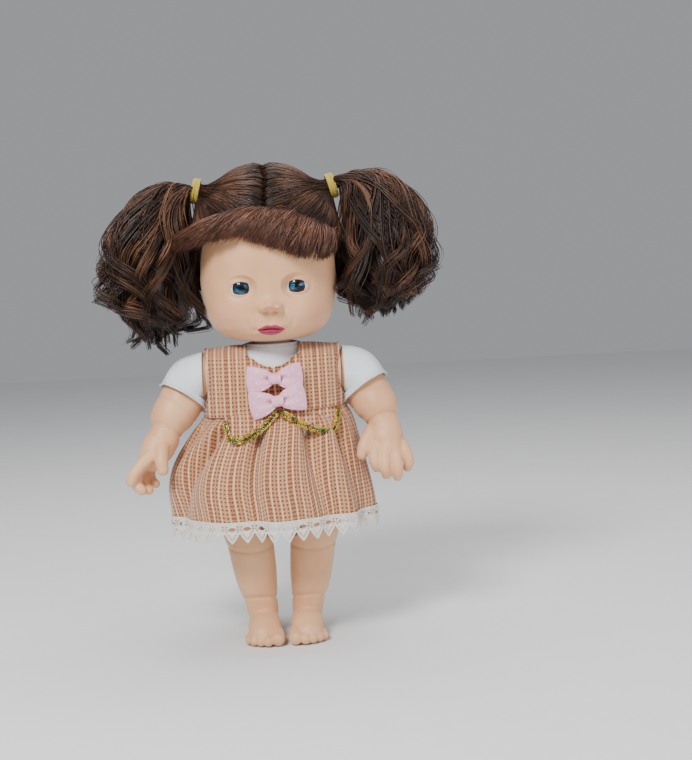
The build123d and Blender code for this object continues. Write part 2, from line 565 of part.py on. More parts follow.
fastener_zone = box((-5.5, 5, 143), (5.5, 60, 170))
fastener = level_loft(BODY_LEVELS, 2.4) - level_loft(BODY_LEVELS, SHIRT_GAP + SHIRT + 0.15)
fastener = fastener & fastener_zone
save(fastener, "dress_fastener")
bodice = level_loft(BODICE_LEVELS) - level_loft(BODY_LEVELS, SHIRT_GAP + SHIRT + 0.15)
armholes = rod((-80, 0, SHOULDER[2]), (80, 0, SHOULDER[2]), SHOULDER_R + 4.0)
bodice -= armholes - box((-30.4, -60, 100), (30.4, 60, 220))
swing = rod((-80, 0, SHOULDER[2]), (80, 0, SHOULDER[2]), SHOULDER_R + 11.0)
bodice -= swing - box((-40.2, -60, 100), (40.2, 60, 220))
bodice -= rod((0, 0, 150), (0, 0, 200), 18.0)
bodice -= rod((0, -60, 182), (0, 0, 182), 16.0)
bodice -= rod((0, 0, 188), (0, 60, 188), 16.0)
bodice -= fastener
save(bodice, "dress_bodice")


def flap_zone(near_x, far_x, low_z):
    """Scalloped outline seen from the front, from the waist seam down to low_z."""
    middle, top = (near_x + far_x) / 2, SKIRT_TOP_Z - 0.3
    side_z = (top + low_z) / 2
    edge = Spline((near_x, side_z + 2), (middle, low_z), (far_x, side_z))
    straight = Polyline((far_x, side_z), (far_x, top), (near_x, top), (near_x, side_z + 2))
    return Plane.XZ * make_face(edge + straight)


FLAPS = {"right": (-1.0, -30.0, 125.8), "left": (3.0, 37.5, 128.0)}
BRAID_WIDE = 2.6
flap_wall = level_loft(SKIRT_LEVELS, WAIST_FLAP_GAP + 1.1, 0) - level_loft(SKIRT_LEVELS, WAIST_FLAP_GAP, 0)
braid_wall = level_loft(SKIRT_LEVELS, WAIST_FLAP_GAP + 2.8, 0) - level_loft(SKIRT_LEVELS, WAIST_FLAP_GAP + 1.15, 0)
for name, (near_x, far_x, low_z) in FLAPS.items():
    zone = extrude(flap_zone(near_x, far_x, low_z), 60)
    save(flap_wall & zone, f"{name}_flap")
    way = 1 if far_x > near_x else -1
    inner = extrude(flap_zone(near_x + way * BRAID_WIDE, far_x - way * BRAID_WIDE, low_z + BRAID_WIDE), 60)
    inner += box((-60, -60, SKIRT_TOP_Z - 1.5), (60, 0, 150))
    save((braid_wall & zone) - inner, f"{name}_flap_braid")

# ---- bows ----
BOW_HALF, BOW_HIGH, BOW_THICK = 16.0, 15.0, 4.4


def bow_solid(x, y, z, tilt):
    """Flat ribbon bow: two flared wings and a knot, its back against the bodice."""
    wing = Polyline((1.5, 3.2), (BOW_HALF, BOW_HIGH / 2), (BOW_HALF, -BOW_HIGH / 2), (1.5, -3.2), close=True)
    face = make_face(wing)
    wings = extrude(Plane.XZ * face + Plane.XZ * mirror(face, about=Plane.YZ), BOW_THICK)
    knot = box((-3.0, -BOW_THICK - 1.2, -3.6), (3.0, 0, 3.6))
    return Pos(x, y, z) * Rot(Y=-tilt) * (wings + knot)


bodice_skin = level_loft(BODICE_LEVELS, 0.1)
upper_bow = bow_solid(0.6, -31.2, 159.6, 2.0) - bodice_skin
save(upper_bow, "upper_bow")
save(bow_solid(1.7, -32.6, 147.4, 9.0) - bodice_skin - upper_bow, "lower_bow")
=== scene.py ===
import json
import math
import bmesh
import bpy
import numpy as np
from mathutils import Euler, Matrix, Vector

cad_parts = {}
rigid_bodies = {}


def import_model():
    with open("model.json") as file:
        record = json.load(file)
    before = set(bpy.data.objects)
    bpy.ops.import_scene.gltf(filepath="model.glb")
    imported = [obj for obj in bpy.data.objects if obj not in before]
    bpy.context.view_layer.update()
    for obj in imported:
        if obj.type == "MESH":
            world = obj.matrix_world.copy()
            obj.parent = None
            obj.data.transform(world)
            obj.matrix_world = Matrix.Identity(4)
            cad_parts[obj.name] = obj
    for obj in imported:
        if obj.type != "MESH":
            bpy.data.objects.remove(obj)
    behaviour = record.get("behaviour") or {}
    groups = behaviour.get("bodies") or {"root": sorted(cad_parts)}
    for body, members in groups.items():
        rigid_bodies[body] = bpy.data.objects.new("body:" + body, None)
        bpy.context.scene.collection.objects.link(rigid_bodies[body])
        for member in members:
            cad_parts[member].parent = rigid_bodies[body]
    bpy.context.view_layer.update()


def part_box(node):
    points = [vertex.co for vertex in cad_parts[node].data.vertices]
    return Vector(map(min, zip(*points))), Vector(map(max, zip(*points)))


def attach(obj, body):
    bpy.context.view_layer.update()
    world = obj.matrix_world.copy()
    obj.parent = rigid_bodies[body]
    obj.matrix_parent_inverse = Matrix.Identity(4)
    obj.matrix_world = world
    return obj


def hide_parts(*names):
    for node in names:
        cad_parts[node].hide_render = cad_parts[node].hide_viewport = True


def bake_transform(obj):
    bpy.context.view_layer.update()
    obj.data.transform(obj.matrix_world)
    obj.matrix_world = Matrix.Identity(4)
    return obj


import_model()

print("frame loaded")

mm = 0.001


def spot(node):  # low and high corner of a CAD node, in mm
    low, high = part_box(node)
    return np.array(low) / mm, np.array(high) / mm


headLow, headHigh = spot("head_shell")
bodiceLow = spot("dress_bodice")[0]
skirtLow, skirtHigh = spot("dress_skirt")


# meshes from arrays

# cubic curve through key points: slopes are mean slopes of the neighbours, blended by the Hermite weights
def smoothCurve(keyX, keyY, x):
    keyX, keyY = np.asarray(keyX, float), np.asarray(keyY, float)
    slope = np.gradient(keyY, keyX)
    x = np.clip(x, keyX[0], keyX[-1])
    i = np.clip(np.searchsorted(keyX, x) - 1, 0, len(keyX) - 2)
    step = keyX[i + 1] - keyX[i]
    t = (x - keyX[i]) / step
    a = 2 * t ** 3 - 3 * t ** 2 + 1
    b = t ** 3 - 2 * t ** 2 + t
    return a * keyY[i] + b * step * slope[i] + (1 - a) * keyY[i + 1] + (t ** 3 - t ** 2) * step * slope[i + 1]


def smoothStep(low, high, x):
    t = np.clip((x - low) / (high - low), 0, 1)
    return t * t * (3 - 2 * t)


def bump(x, middle, spread):  # bell curve of height 1
    return np.exp(-((x - middle) / spread) ** 2)


def unit(v):
    return v / np.maximum(np.linalg.norm(v, axis=-1, keepdims=True), 1e-9)


# puts arrays into a mesh; corners is a list of index arrays, one row for each face
def makeMesh(name, points, corners, uv=None, values=None):
    points = np.asarray(points, float).reshape(-1, 3)
    mesh = bpy.data.meshes.new(name)
    mesh.vertices.add(len(points))
    mesh.vertices.foreach_set("co", (points * mm).ravel())
    flat = np.concatenate([c.ravel() for c in corners]).astype(np.int32)
    sizes = np.concatenate([np.full(len(c), c.shape[1]) for c in corners])
    mesh.loops.add(len(flat))
    mesh.loops.foreach_set("vertex_index", flat)
    mesh.polygons.add(len(sizes))
    mesh.polygons.foreach_set("loop_start", (np.cumsum(sizes) - sizes).astype(np.int32))
    mesh.update(calc_edges=True)
    mesh.validate()
    mesh.polygons.foreach_set("use_smooth", np.ones(len(mesh.polygons), bool))
    if uv is not None:
        layer = mesh.uv_layers.new(name="UVMap")
        uv = np.asarray(uv, float).reshape(-1, 2)
        layer.data.foreach_set("uv", uv[flat].ravel())
    for key, array in (values or {}).items():
        mesh.attributes.new(key, "FLOAT", "POINT").data.foreach_set("value",
            np.asarray(array, np.float32).ravel())
    obj = bpy.data.objects.new(name, mesh)
    bpy.context.scene.collection.objects.link(obj)
    return obj


# quads that join the neighbours of a grid with nu rows of nv points
def gridCorners(nu, nv, closeU=False, closeV=False):
    i = np.arange(nu if closeU else nu - 1)[:, None]
    j = np.arange(nv if closeV else nv - 1)[None, :]
    i2, j2 = (i + 1) % nu, (j + 1) % nv
    return np.stack([i * nv + j, i2 * nv + j, i2 * nv + j2, i * nv + j2], -1).reshape(-1, 4)


# a grid of points made a surface whose faces look away from the point called inside
def gridPiece(name, points, inside, closeU=False, closeV=False, uv=None, values=None):
    nu, nv = points.shape[:2]
    corners = gridCorners(nu, nv, closeU, closeV)
    flat = points.reshape(-1, 3)
    a, b, c, d = (flat[corners[:, k]] for k in range(4))
    way = np.einsum("ij,ij->", np.cross(c - a, d - b), (a + c) / 2 - np.asarray(inside, float))
    if way < 0:
        corners = corners[:, ::-1]
    return makeMesh(name, flat, [corners], uv, values)


# a ring profile carried along a path: frames come from the path's direction and a reference direction
def tubeArrays(path, radius, sides=10, squash=1.0, towards=(0.0, -1.0, 0.0)):
    path = np.asarray(path, float)
    radius = np.broadcast_to(radius, len(path)).astype(float)
    along = unit(np.gradient(path, axis=0))
    side = unit(np.cross(along, np.broadcast_to(towards, path.shape)))
    over = np.cross(side, along)
    turn = np.linspace(0, 2 * math.pi, sides, endpoint=False)
    ring = np.cos(turn)[None, :, None] * side[:, None] + squash * np.sin(turn)[None, :, None] * over[:, None]
    points = path[:, None] + radius[:, None, None] * ring
    corners = [gridCorners(len(path), sides, closeV=True)[:, ::-1]]
    first, last = np.arange(sides), (len(path) - 1) * sides + np.arange(sides)
    return points.reshape(-1, 3), corners + [first[None, :], last[::-1][None, :]]


def joinArrays(pieces):
    points, corners, start = [], {}, 0
    for p, cs in pieces:
        points.append(p)
        for c in cs:
            corners.setdefault(c.shape[1], []).append(c + start)
        start += len(p)
    return np.concatenate(points), [np.concatenate(c) for c in corners.values()]


def turnOut(obj, weld=0.0):  # merges doubles and points every face outwards
    work = bmesh.new()
    work.from_mesh(obj.data)
    if weld:
        bmesh.ops.remove_doubles(work, verts=work.verts, dist=weld * mm)
    bmesh.ops.recalc_face_normals(work, faces=work.faces)
    work.to_mesh(obj.data)
    work.free()
    return obj


def applyModifiers(obj):
    depsgraph = bpy.context.evaluated_depsgraph_get()
    mesh = bpy.data.meshes.new_from_object(obj.evaluated_get(depsgraph))
    obj.modifiers.clear()
    obj.data = mesh
    return obj


def thicken(obj, wall, rim=True):
    solid = obj.modifiers.new("wall", "SOLIDIFY")
    solid.thickness = wall * mm
    solid.offset = -1
    solid.use_rim = rim
    return obj


def finishPiece(obj, material, body, slotName, *nodes):
    obj.data.materials.clear()
    obj.data.materials.append(material)
    if body:
        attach(obj, body)
    if nodes:
        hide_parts(*nodes)
    return obj


# materials

class Shade:  # one material's nodes; numbers that hold everywhere are set on the shader's own sockets
    def __init__(self, name, **settings):
        self.material = bpy.data.materials.new(name)
        self.material.use_nodes = True
        self.tree = self.material.node_tree
        self.shader = self.tree.nodes["Principled BSDF"]
        for key, value in settings.items():
            self.shader.inputs[key.replace("_", " ")].default_value = value

    def add(self, kind, inputs=None, **settings):
        made = self.tree.nodes.new("ShaderNode" + kind)
        for key, value in settings.items():
            setattr(made, key, value)
        for key, value in (inputs or {}).items():
            if hasattr(value, "links") or isinstance(value, bpy.types.NodeSocket):
                self.tree.links.new(value, made.inputs[key])
            else:
                made.inputs[key].default_value = value
        return made

    def math(self, operation, a, b=0.0, clamp=False):
        return self.add("Math", {0: a, 1: b}, operation=operation, use_clamp=clamp).outputs[0]

    def noise(self, scale, detail=3.0, where=None, stretch=None, roughness=0.55):
        where = where or self.place()
        if stretch:
            where = self.add("Mapping", {"Vector": where, "Scale": stretch}).outputs[0]
        inputs = {"Vector": where, "Scale": scale, "Detail": detail, "Roughness": roughness}
        return self.add("TexNoise", inputs).outputs["Fac"]

    def place(self):
        return self.add("TexCoord").outputs["Object"]

    def ramp(self, value, stops):
        made = self.add("ValToRGB", {"Fac": value})
        while len(made.color_ramp.elements) < len(stops):
            made.color_ramp.elements.new(0.5)
        for element, (place, colour) in zip(made.color_ramp.elements, stops):
            element.position = place
            element.color = (*colour, 1.0)
        return made.outputs["Color"]

    def mix(self, factor, a, b, blend="MIX"):
        made = self.add("Mix", data_type="RGBA", blend_type=blend)
        for index, value in ((0, factor), (6, a), (7, b)):
            if isinstance(value, bpy.types.NodeSocket):
                self.tree.links.new(value, made.inputs[index])
            else:
                made.inputs[index].default_value = value if index == 0 else (*value, 1.0)
        return made.outputs[2]

    def spread(self, value, low, high, to0=0.0, to1=1.0):
        inputs = {"Value": value, "From Min": low, "From Max": high, "To Min": to0, "To Max": to1}
        return self.add("MapRange", inputs).outputs[0]

    def attribute(self, name):
        return self.add("Attribute", attribute_name=name).outputs["Fac"]

    def colour(self, socket):
        self.tree.links.new(socket, self.shader.inputs["Base Color"])

    def rough(self, value, low, high):
        self.tree.links.new(self.spread(value, 0.3, 0.7, low, high), self.shader.inputs["Roughness"])

    def raised(self, height, strength, distance):
        made = self.add("Bump", {"Height": height, "Strength": strength, "Distance": distance * mm})
        self.tree.links.new(made.outputs[0], self.shader.inputs["Normal"])


skinTones = {"light": (0.76, 0.435, 0.235), "deep": (0.65, 0.335, 0.165), "blush": (0.72, 0.28, 0.17),
             "lips": (0.44, 0.022, 0.085), "lipsDeep": (0.25, 0.010, 0.04)}


# soft vinyl: two close skin tones by noise, blush and lips where the mesh's own values say
def skinMaterial(name, painted=False):
    s = Shade(name, Subsurface_Weight=0.12, Subsurface_Scale=0.004, Specular_IOR_Level=0.42,
              Sheen_Weight=0.12, Sheen_Roughness=0.5)
    s.shader.inputs["Subsurface Radius"].default_value = (1.0, 0.45, 0.28)
    broad = s.noise(38.0, 4.0)
    fine = s.noise(900.0, 2.0)
    colour = s.ramp(broad, [(0.3, skinTones["deep"]), (0.7, skinTones["light"])])
    if painted:
        colour = s.mix(s.math("MULTIPLY", s.attribute("blush"), 0.55), colour, skinTones["blush"])
        edge = s.spread(s.math("ADD", s.attribute("lips"), s.spread(fine, 0.3, 0.7, -0.05, 0.05)), -0.1, 0.12)
        paint = s.mix(s.spread(s.noise(260.0), 0.35, 0.65), skinTones["lips"], skinTones["lipsDeep"])
        colour = s.mix(edge, colour, paint)
    s.colour(colour)
    s.rough(broad, 0.42, 0.54)
    s.raised(s.math("ADD", fine, s.math("MULTIPLY", s.noise(140.0), 2.0)), 0.12, 0.12)
    return s.material


hairTones = {"dark": (0.008, 0.004, 0.0025), "mid": (0.040, 0.016, 0.008), "light": (0.17, 0.075, 0.038),
             "fringeDark": (0.022, 0.008, 0.005), "fringeMid": (0.085, 0.031, 0.018),
             "fringeLight": (0.24, 0.105, 0.06)}


# nylon hair: a tone for each lock and each strand, darker at the roots, with a soft shine from the shader;
# the tone that each piece gives also holds painted highlights and painted shade
def hairMaterial(name, dark, mid, light):
    s = Shade(name, Specular_IOR_Level=0.38)
    tone = s.math("ADD", s.attribute("tone"), s.spread(s.noise(120.0), 0.3, 0.7, -0.12, 0.12))
    s.colour(s.ramp(tone, [(0.05, dark), (0.5, mid), (0.95, light)]))
    s.rough(s.noise(300.0), 0.36, 0.5)
    return s.material


clothTones = {"tan": (0.50, 0.215, 0.095), "cream": (0.78, 0.58, 0.38), "rust": (0.26, 0.062, 0.028),
              "dash": (0.085, 0.016, 0.008), "pale": (0.60, 0.32, 0.16)}
weave = {"repeat": 13.0, "rows": 2.35, "thread": 1.17}  # mm on the cloth


# woven check on the piece's own UV map, which is in mm of cloth: pale stripes, rust bands,
# and columns of short dark floats, one in each row
def checkMaterial(name):
    s = Shade(name, Specular_IOR_Level=0.18, Sheen_Weight=0.25, Sheen_Roughness=0.5)
    place = s.add("TexCoord").outputs["UV"]
    wobble = s.noise(0.35, 2.0, where=place)
    parts = s.add("SeparateXYZ", {"Vector": place})
    across = s.math("ADD", parts.outputs[0], s.spread(wobble, 0.3, 0.7, -0.12, 0.12))
    down = parts.outputs[1]
    column = s.math("MULTIPLY", s.math("FRACT", s.math("DIVIDE", across, weave["repeat"])), weave["repeat"])
    row = s.math("FRACT", s.math("DIVIDE", down, weave["rows"]))
    thread = s.math("FRACT", s.math("DIVIDE", down, weave["thread"]))
    warp = s.math("FRACT", s.math("DIVIDE", across, 0.62))

    def stripe(middle, half, soft=0.12):
        far = s.math("ABSOLUTE", s.math("SUBTRACT", column, middle))
        return s.spread(far, half + soft, half - soft)

    def anyOf(items):
        total = items[0]
        for item in items[1:]:
            total = s.math("MAXIMUM", total, item)
        return total

    grain = s.noise(1.1, 3.0, where=place, stretch=(1.0, 2.2, 1.0))
    colour = s.mix(s.spread(grain, 0.3, 0.7), clothTones["tan"], clothTones["pale"])
    bands = anyOf([stripe(2.7, 1.1, 0.5), stripe(11.6, 1.0, 0.5)])
    colour = s.mix(s.math("MULTIPLY", bands, 0.38), colour, clothTones["rust"])
    fromRow = s.math("ABSOLUTE", s.math("SUBTRACT", row, 0.5))
    colour = s.mix(s.spread(fromRow, 0.24, 0.10, 0.0, 0.42), colour, clothTones["rust"])
    creams = anyOf([stripe(0.5, 0.42), stripe(5.0, 0.38), stripe(9.7, 0.28), stripe(7.3, 0.1),
        stripe(2.7, 0.1)])
    colour = s.mix(s.math("MULTIPLY", creams, 0.86), colour, clothTones["cream"])
    dashes = anyOf([stripe(dashPlace, 0.34, 0.1) for dashPlace in (1.6, 3.8, 6.2, 8.5, 10.9, 12.2)])
    faint = s.spread(grain, 0.25, 0.6, 0.6, 1.0)
    floatRow = s.spread(fromRow, 0.27, 0.17)
    colour = s.mix(s.math("MULTIPLY", s.math("MULTIPLY", dashes, floatRow), faint), colour,
        clothTones["dash"])
    # painted shade: the dips between threads, where the bump below sinks, are mixed a little towards rust
    fold = s.math("ABSOLUTE", s.math("SUBTRACT", thread, 0.5))
    colour = s.mix(s.spread(fold, 0.30, 0.5, 0.0, 0.25), colour, clothTones["rust"])
    s.colour(colour)
    s.rough(grain, 0.82, 0.95)
    ridge = s.math("ADD", s.math("SUBTRACT", 0.5, fold), s.math("MULTIPLY", creams, 0.5))
    ridge = s.math("ADD", ridge, s.math("ABSOLUTE", s.math("SUBTRACT", warp, 0.5)))
    s.raised(ridge, 0.75, 0.28)
    return s.material


# knitted jersey: fine upright ribs and a slight cross rib, almost white, with painted cool grey shade in the
# dips between the ribs
def jerseyMaterial(name):
    s = Shade(name, Specular_IOR_Level=0.2, Sheen_Weight=0.3, Subsurface_Weight=0.05, Subsurface_Scale=0.002)
    place = s.add("TexCoord").outputs["UV"]
    parts = s.add("SeparateXYZ", {"Vector": place})
    rib = s.math("ABSOLUTE", s.math("SUBTRACT", s.math("FRACT", s.math("DIVIDE", parts.outputs[0], 0.6)),
        0.5))
    course = s.math("ABSOLUTE", s.math("SUBTRACT", s.math("FRACT", s.math("DIVIDE", parts.outputs[1], 0.5)),
        0.5))
    broad = s.noise(60.0)
    colour = s.mix(s.spread(broad, 0.3, 0.7), (0.66, 0.69, 0.72), (0.78, 0.80, 0.82))
    # painted shade: the dips between the ribs are mixed towards a cool grey
    s.colour(s.mix(s.spread(rib, 0.1, 0.5, 0.0, 0.2), colour, (0.50, 0.53, 0.57)))
    s.rough(broad, 0.8, 0.92)
    s.raised(s.math("ADD", s.math("MULTIPLY", rib, -1.0), s.math("MULTIPLY", course, -0.5)), 0.5, 0.14)
    return s.material


# cotton thread, for crochet, stitches and the like: a twist seen as slanted bands
def threadMaterial(name, light, deep, scale=900.0, **settings):
    s = Shade(name, Specular_IOR_Level=0.25, **settings)
    twist = s.noise(scale, 2.0, stretch=(1.0, 1.0, 2.2))
    s.colour(s.mix(s.spread(twist, 0.35, 0.65), light, deep))
    s.rough(twist, 0.65, 0.85)
    s.raised(twist, 0.6, 0.15)
    return s.material


# satin ribbon: fine cross ribs, and small round white dots in staggered rows on the UV map in mm
def ribbonMaterial(name):
    s = Shade(name, Specular_IOR_Level=0.4, Sheen_Weight=0.4, Sheen_Roughness=0.35)
    place = s.add("TexCoord").outputs["UV"]
    parts = s.add("SeparateXYZ", {"Vector": place})
    pitch = 6.6
    line = s.math("FLOOR", s.math("DIVIDE", parts.outputs[1], pitch / 2))
    shift = s.math("MULTIPLY", s.math("MODULO", line, 2.0), pitch / 2)
    x = s.math("MULTIPLY", s.math("SUBTRACT", s.math("FRACT",
        s.math("DIVIDE", s.math("ADD", parts.outputs[0], shift), pitch)), 0.5), pitch)
    y = s.math("MULTIPLY", s.math("SUBTRACT", s.math("FRACT",
        s.math("DIVIDE", parts.outputs[1], pitch / 2)), 0.5), pitch / 2)
    far = s.math("SQRT", s.math("ADD", s.math("MULTIPLY", x, x), s.math("MULTIPLY", y, y)))
    dot = s.spread(far, 0.75, 0.35, 0.0, 0.62)
    broad = s.noise(90.0)
    pink = s.mix(s.spread(broad, 0.3, 0.7), (0.78, 0.355, 0.50), (0.84, 0.43, 0.57))
    s.colour(s.mix(dot, pink, (0.93, 0.84, 0.88)))
    rib = s.math("ABSOLUTE", s.math("SUBTRACT", s.math("FRACT", s.math("DIVIDE", parts.outputs[0], 0.45)),
        0.5))
    s.rough(broad, 0.42, 0.55)
    s.raised(rib, 0.3, 0.1)
    return s.material


# gold braid: metallic film yarn whose flakes differ in tint by the mesh's own value
def braidMaterial(name):
    s = Shade(name, Metallic=0.75, Specular_IOR_Level=0.6)
    pick = s.attribute("tone")
    flake = s.ramp(pick, [(0.0, (0.012, 0.03, 0.02)), (0.10, (0.01, 0.16, 0.07)), (0.17, (0.02, 0.07, 0.20)),
                          (0.24, (0.22, 0.12, 0.01)), (0.5, (0.62, 0.38, 0.035)), (1.0, (0.95, 0.72, 0.15))])
    s.tree.nodes[-1].color_ramp.interpolation = "CONSTANT"
    s.colour(flake)
    grain = s.noise(1400.0, 2.0)
    s.rough(grain, 0.22, 0.45)
    s.raised(grain, 0.5, 0.1)
    return s.material


# moulded or metal parts: one tone with a faint flow pattern and fine grain
def plainMaterial(name, tone, low=0.35, high=0.5, **settings):
    s = Shade(name, **settings)
    flow = s.noise(120.0, 3.0, stretch=(1.0, 1.0, 3.0))
    deep = tuple(c * 0.82 for c in tone)
    s.colour(s.mix(s.spread(flow, 0.3, 0.7), tone, deep))
    s.rough(flow, low, high)
    s.raised(s.noise(1600.0, 2.0), 0.08, 0.05)
    return s.material


# printed eye: black pupil, streaked blue with a dark rim, by distance from the eye's axis
def irisMaterial(name, centre, radius):
    s = Shade(name, Specular_IOR_Level=0.6, Coat_Weight=0.6, Coat_Roughness=0.05)
    shift = tuple(-c for c in centre)
    place = s.add("Mapping", {"Vector": s.place(), "Location": shift}).outputs[0]
    parts = s.add("SeparateXYZ", {"Vector": place})
    flat = s.add("CombineXYZ", {"X": parts.outputs[0], "Z": parts.outputs[2]}).outputs[0]
    far = s.math("DIVIDE", s.add("VectorMath", {0: flat}, operation="LENGTH").outputs["Value"], radius)
    turn = s.math("ARCTAN2", parts.outputs[2], parts.outputs[0])
    around = s.add("CombineXYZ", {"X": s.math("MULTIPLY", turn, 6.0),
        "Y": s.math("MULTIPLY", far, 0.7)}).outputs[0]
    streak = s.noise(1.6, 3.0, where=around)
    blue = s.mix(s.spread(streak, 0.40, 0.60), (0.02, 0.26, 0.62), (0.16, 0.62, 0.95))
    blue = s.mix(s.spread(far, 0.60, 0.80, 0.0, 0.6), blue, (0.02, 0.20, 0.48))
    rim = s.mix(s.spread(far, 0.78, 0.92), blue, (0.003, 0.012, 0.03))
    s.colour(s.mix(s.spread(far, 0.32, 0.27), rim, (0.002, 0.002, 0.003)))
    s.rough(streak, 0.15, 0.25)
    return s.material


# clear dome: light passes straight through, and the rest is a reflection that grows at grazing angles
def lensMaterial(name):
    s = Shade(name)
    haze = s.noise(60.0)
    gloss = s.add("BsdfGlossy", {"Color": s.mix(haze, (1.0, 1.0, 1.0), (0.9, 0.95, 1.0)), "Roughness": 0.06})
    clear = s.add("BsdfTransparent")
    share = s.spread(s.math("POWER", s.add("LayerWeight").outputs["Facing"], 3.0), 0.0, 1.0, 0.03, 0.5)
    both = s.add("MixShader", {0: share, 1: clear.outputs[0], 2: gloss.outputs[0]})
    s.tree.links.new(both.outputs[0], s.tree.nodes["Material Output"].inputs["Surface"])
    return s.material


skin = skinMaterial("soft_vinyl")
faceSkin = skinMaterial("painted_vinyl", painted=True)
hair = hairMaterial("brown_hair", hairTones["dark"], hairTones["mid"], hairTones["light"])
fringeHair = hairMaterial("chestnut_hair", hairTones["fringeDark"], hairTones["fringeMid"],
    hairTones["fringeLight"])
check = checkMaterial("woven_check")
jersey = jerseyMaterial("white_jersey")
cotton = threadMaterial("crochet_cotton", (0.80, 0.75, 0.68), (0.66, 0.60, 0.53))
whiteThread = threadMaterial("white_thread", (0.74, 0.76, 0.79), (0.56, 0.58, 0.62))
tanThread = threadMaterial("tan_thread", (0.46, 0.24, 0.13), (0.30, 0.13, 0.07))
goldBraid = braidMaterial("gold_braid")
ribbon = ribbonMaterial("dotted_ribbon")
elastic = threadMaterial("mustard_elastic", (0.48, 0.36, 0.045), (0.34, 0.23, 0.02), 1200.0, Sheen_Weight=0.3)
print("materials made")

# CAD pieces that stay, with better materials

keptFinish = {
    "bodyPlastic": dict(nodes=["torso_front", "torso_back", "battery_cover"], tone=(0.66, 0.40, 0.27),
    low=0.4, high=0.55),
    "whitePlastic": dict(nodes=["neck_ring", "button_guide", "left_eye_cup", "right_eye_cup"],
    tone=(0.72, 0.72, 0.70)),
    "eyeWhite": dict(nodes=["left_eyeball", "right_eyeball"], tone=(0.74, 0.76, 0.80), low=0.12, high=0.2,
    Coat_Weight=0.5),
    "blackPlastic": dict(nodes=["button_switch", "sound_chip", "battery_tray", "switch_body",
    "switch_knob"], tone=(0.02, 0.02, 0.022)),
    "redPlastic": dict(nodes=["sound_button"], tone=(0.50, 0.03, 0.04)),
    "steel": dict(nodes=["body_screws", "board_screws", "battery_cover_screw", "button_spring",
    "speaker_frame",
                         "speaker_magnet", "button_cells", "battery_contacts"], tone=(0.56, 0.56, 0.58),
                         Metallic=1.0),
    "board": dict(nodes=["circuit_board"], tone=(0.02, 0.16, 0.05)),
    "paperCone": dict(nodes=["speaker_cone"], tone=(0.03, 0.03, 0.03), low=0.8, high=0.95),
    "lead": dict(nodes=["speaker_leads", "battery_leads"], tone=(0.35, 0.02, 0.02)),
    "hookTape": dict(nodes=["dress_fastener"], tone=(0.70, 0.70, 0.70), low=0.85, high=0.95),
}
for finishName, facts in keptFinish.items():
    settings = {k: v for k, v in facts.items() if k != "nodes"}
    made = plainMaterial(finishName, **settings)
    for node in facts["nodes"]:
        for holder in bpy.data.objects[node].material_slots:
            holder.material = made
for side in ("left", "right"):
    low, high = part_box(side + "_iris")
    centre = [(a + b) / 2 for a, b in zip(low, high)]
    made = irisMaterial(side + "_iris_print", centre, (high[0] - low[0]) / 2)
    for holder in bpy.data.objects[side + "_iris"].material_slots:
        holder.material = made
lens = lensMaterial("clear_lens")
for side in ("left", "right"):
    for holder in bpy.data.objects[side + "_eye_lens"].material_slots:
        holder.material = lens

# head

head = {
    "bottom": headLow[2], "top": headHigh[2],
    # height above the chin, half width, reach to the front, reach to the back
    "levels": [(0.0, 13.5, 17.0, 12.5), (1.0, 20.0, 25.0, 15.5), (3.0, 26.0, 30.5, 19.0),
    (7.0, 32.0, 34.8, 24.0),
               (12.0, 35.6, 37.0, 28.0), (19.0, 38.2, 38.4, 33.0), (28.0, 39.8, 39.2, 37.5),
               (38.0, 40.8, 40.2, 40.5),
               (50.0, 41.0, 41.2, 42.0), (64.0, 38.6, 39.0, 41.0), (76.0, 33.5, 33.5, 37.0),
               (86.0, 25.5, 25.0, 29.0),
               (93.0, 16.0, 15.0, 19.0), (97.4, 2.0, 2.0, 2.5)],
    "columns": 330, "rows": 280,
    "eyeX": 16.0, "eyeZ": 31.4, "eyeHalf": 6.5, "lidTop": 4.3, "lidBottom": 4.1,
    "mouthZ": 7.4, "mouthHalf": 7.9,
}
eyeLow, eyeHigh = spot("left_eyeball")
eyeBall = {"radius": (eyeHigh[0] - eyeLow[0]) / 2, "x": (eyeHigh[0] + eyeLow[0]) / 2,
    "z": (eyeHigh[2] + eyeLow[2]) / 2}
eyeBall["y"] = eyeHigh[1] - eyeBall["radius"]


def densePlaces(low, high, count, peaks):
    # places whose spacing shrinks near each peak: the running sum of a density, inverted
    x = np.linspace(low, high, 4000)
    density = 1.0 + sum(gain * np.exp(-((x - middle) / spread) ** 4) for middle, spread, gain in peaks)
    total = np.concatenate([[0], np.cumsum(density[1:])])
    return np.interp(np.linspace(0, total[-1], count), total, x)


def lipHeights(x):  # upper edge, parting line and lower edge of the painted lips
    t = np.clip(np.abs(x) / head["mouthHalf"], 0, 1)
    upper = 3.0 * (1 - t ** 1.6) ** 0.9 - 0.85 * bump(x, 0, 1.5)
    lower = -3.5 * (1 - t ** 2.0) ** 0.8
    return upper, 0.15 - 0.5 * t + 0.25 * bump(x, 0, 2.0), lower


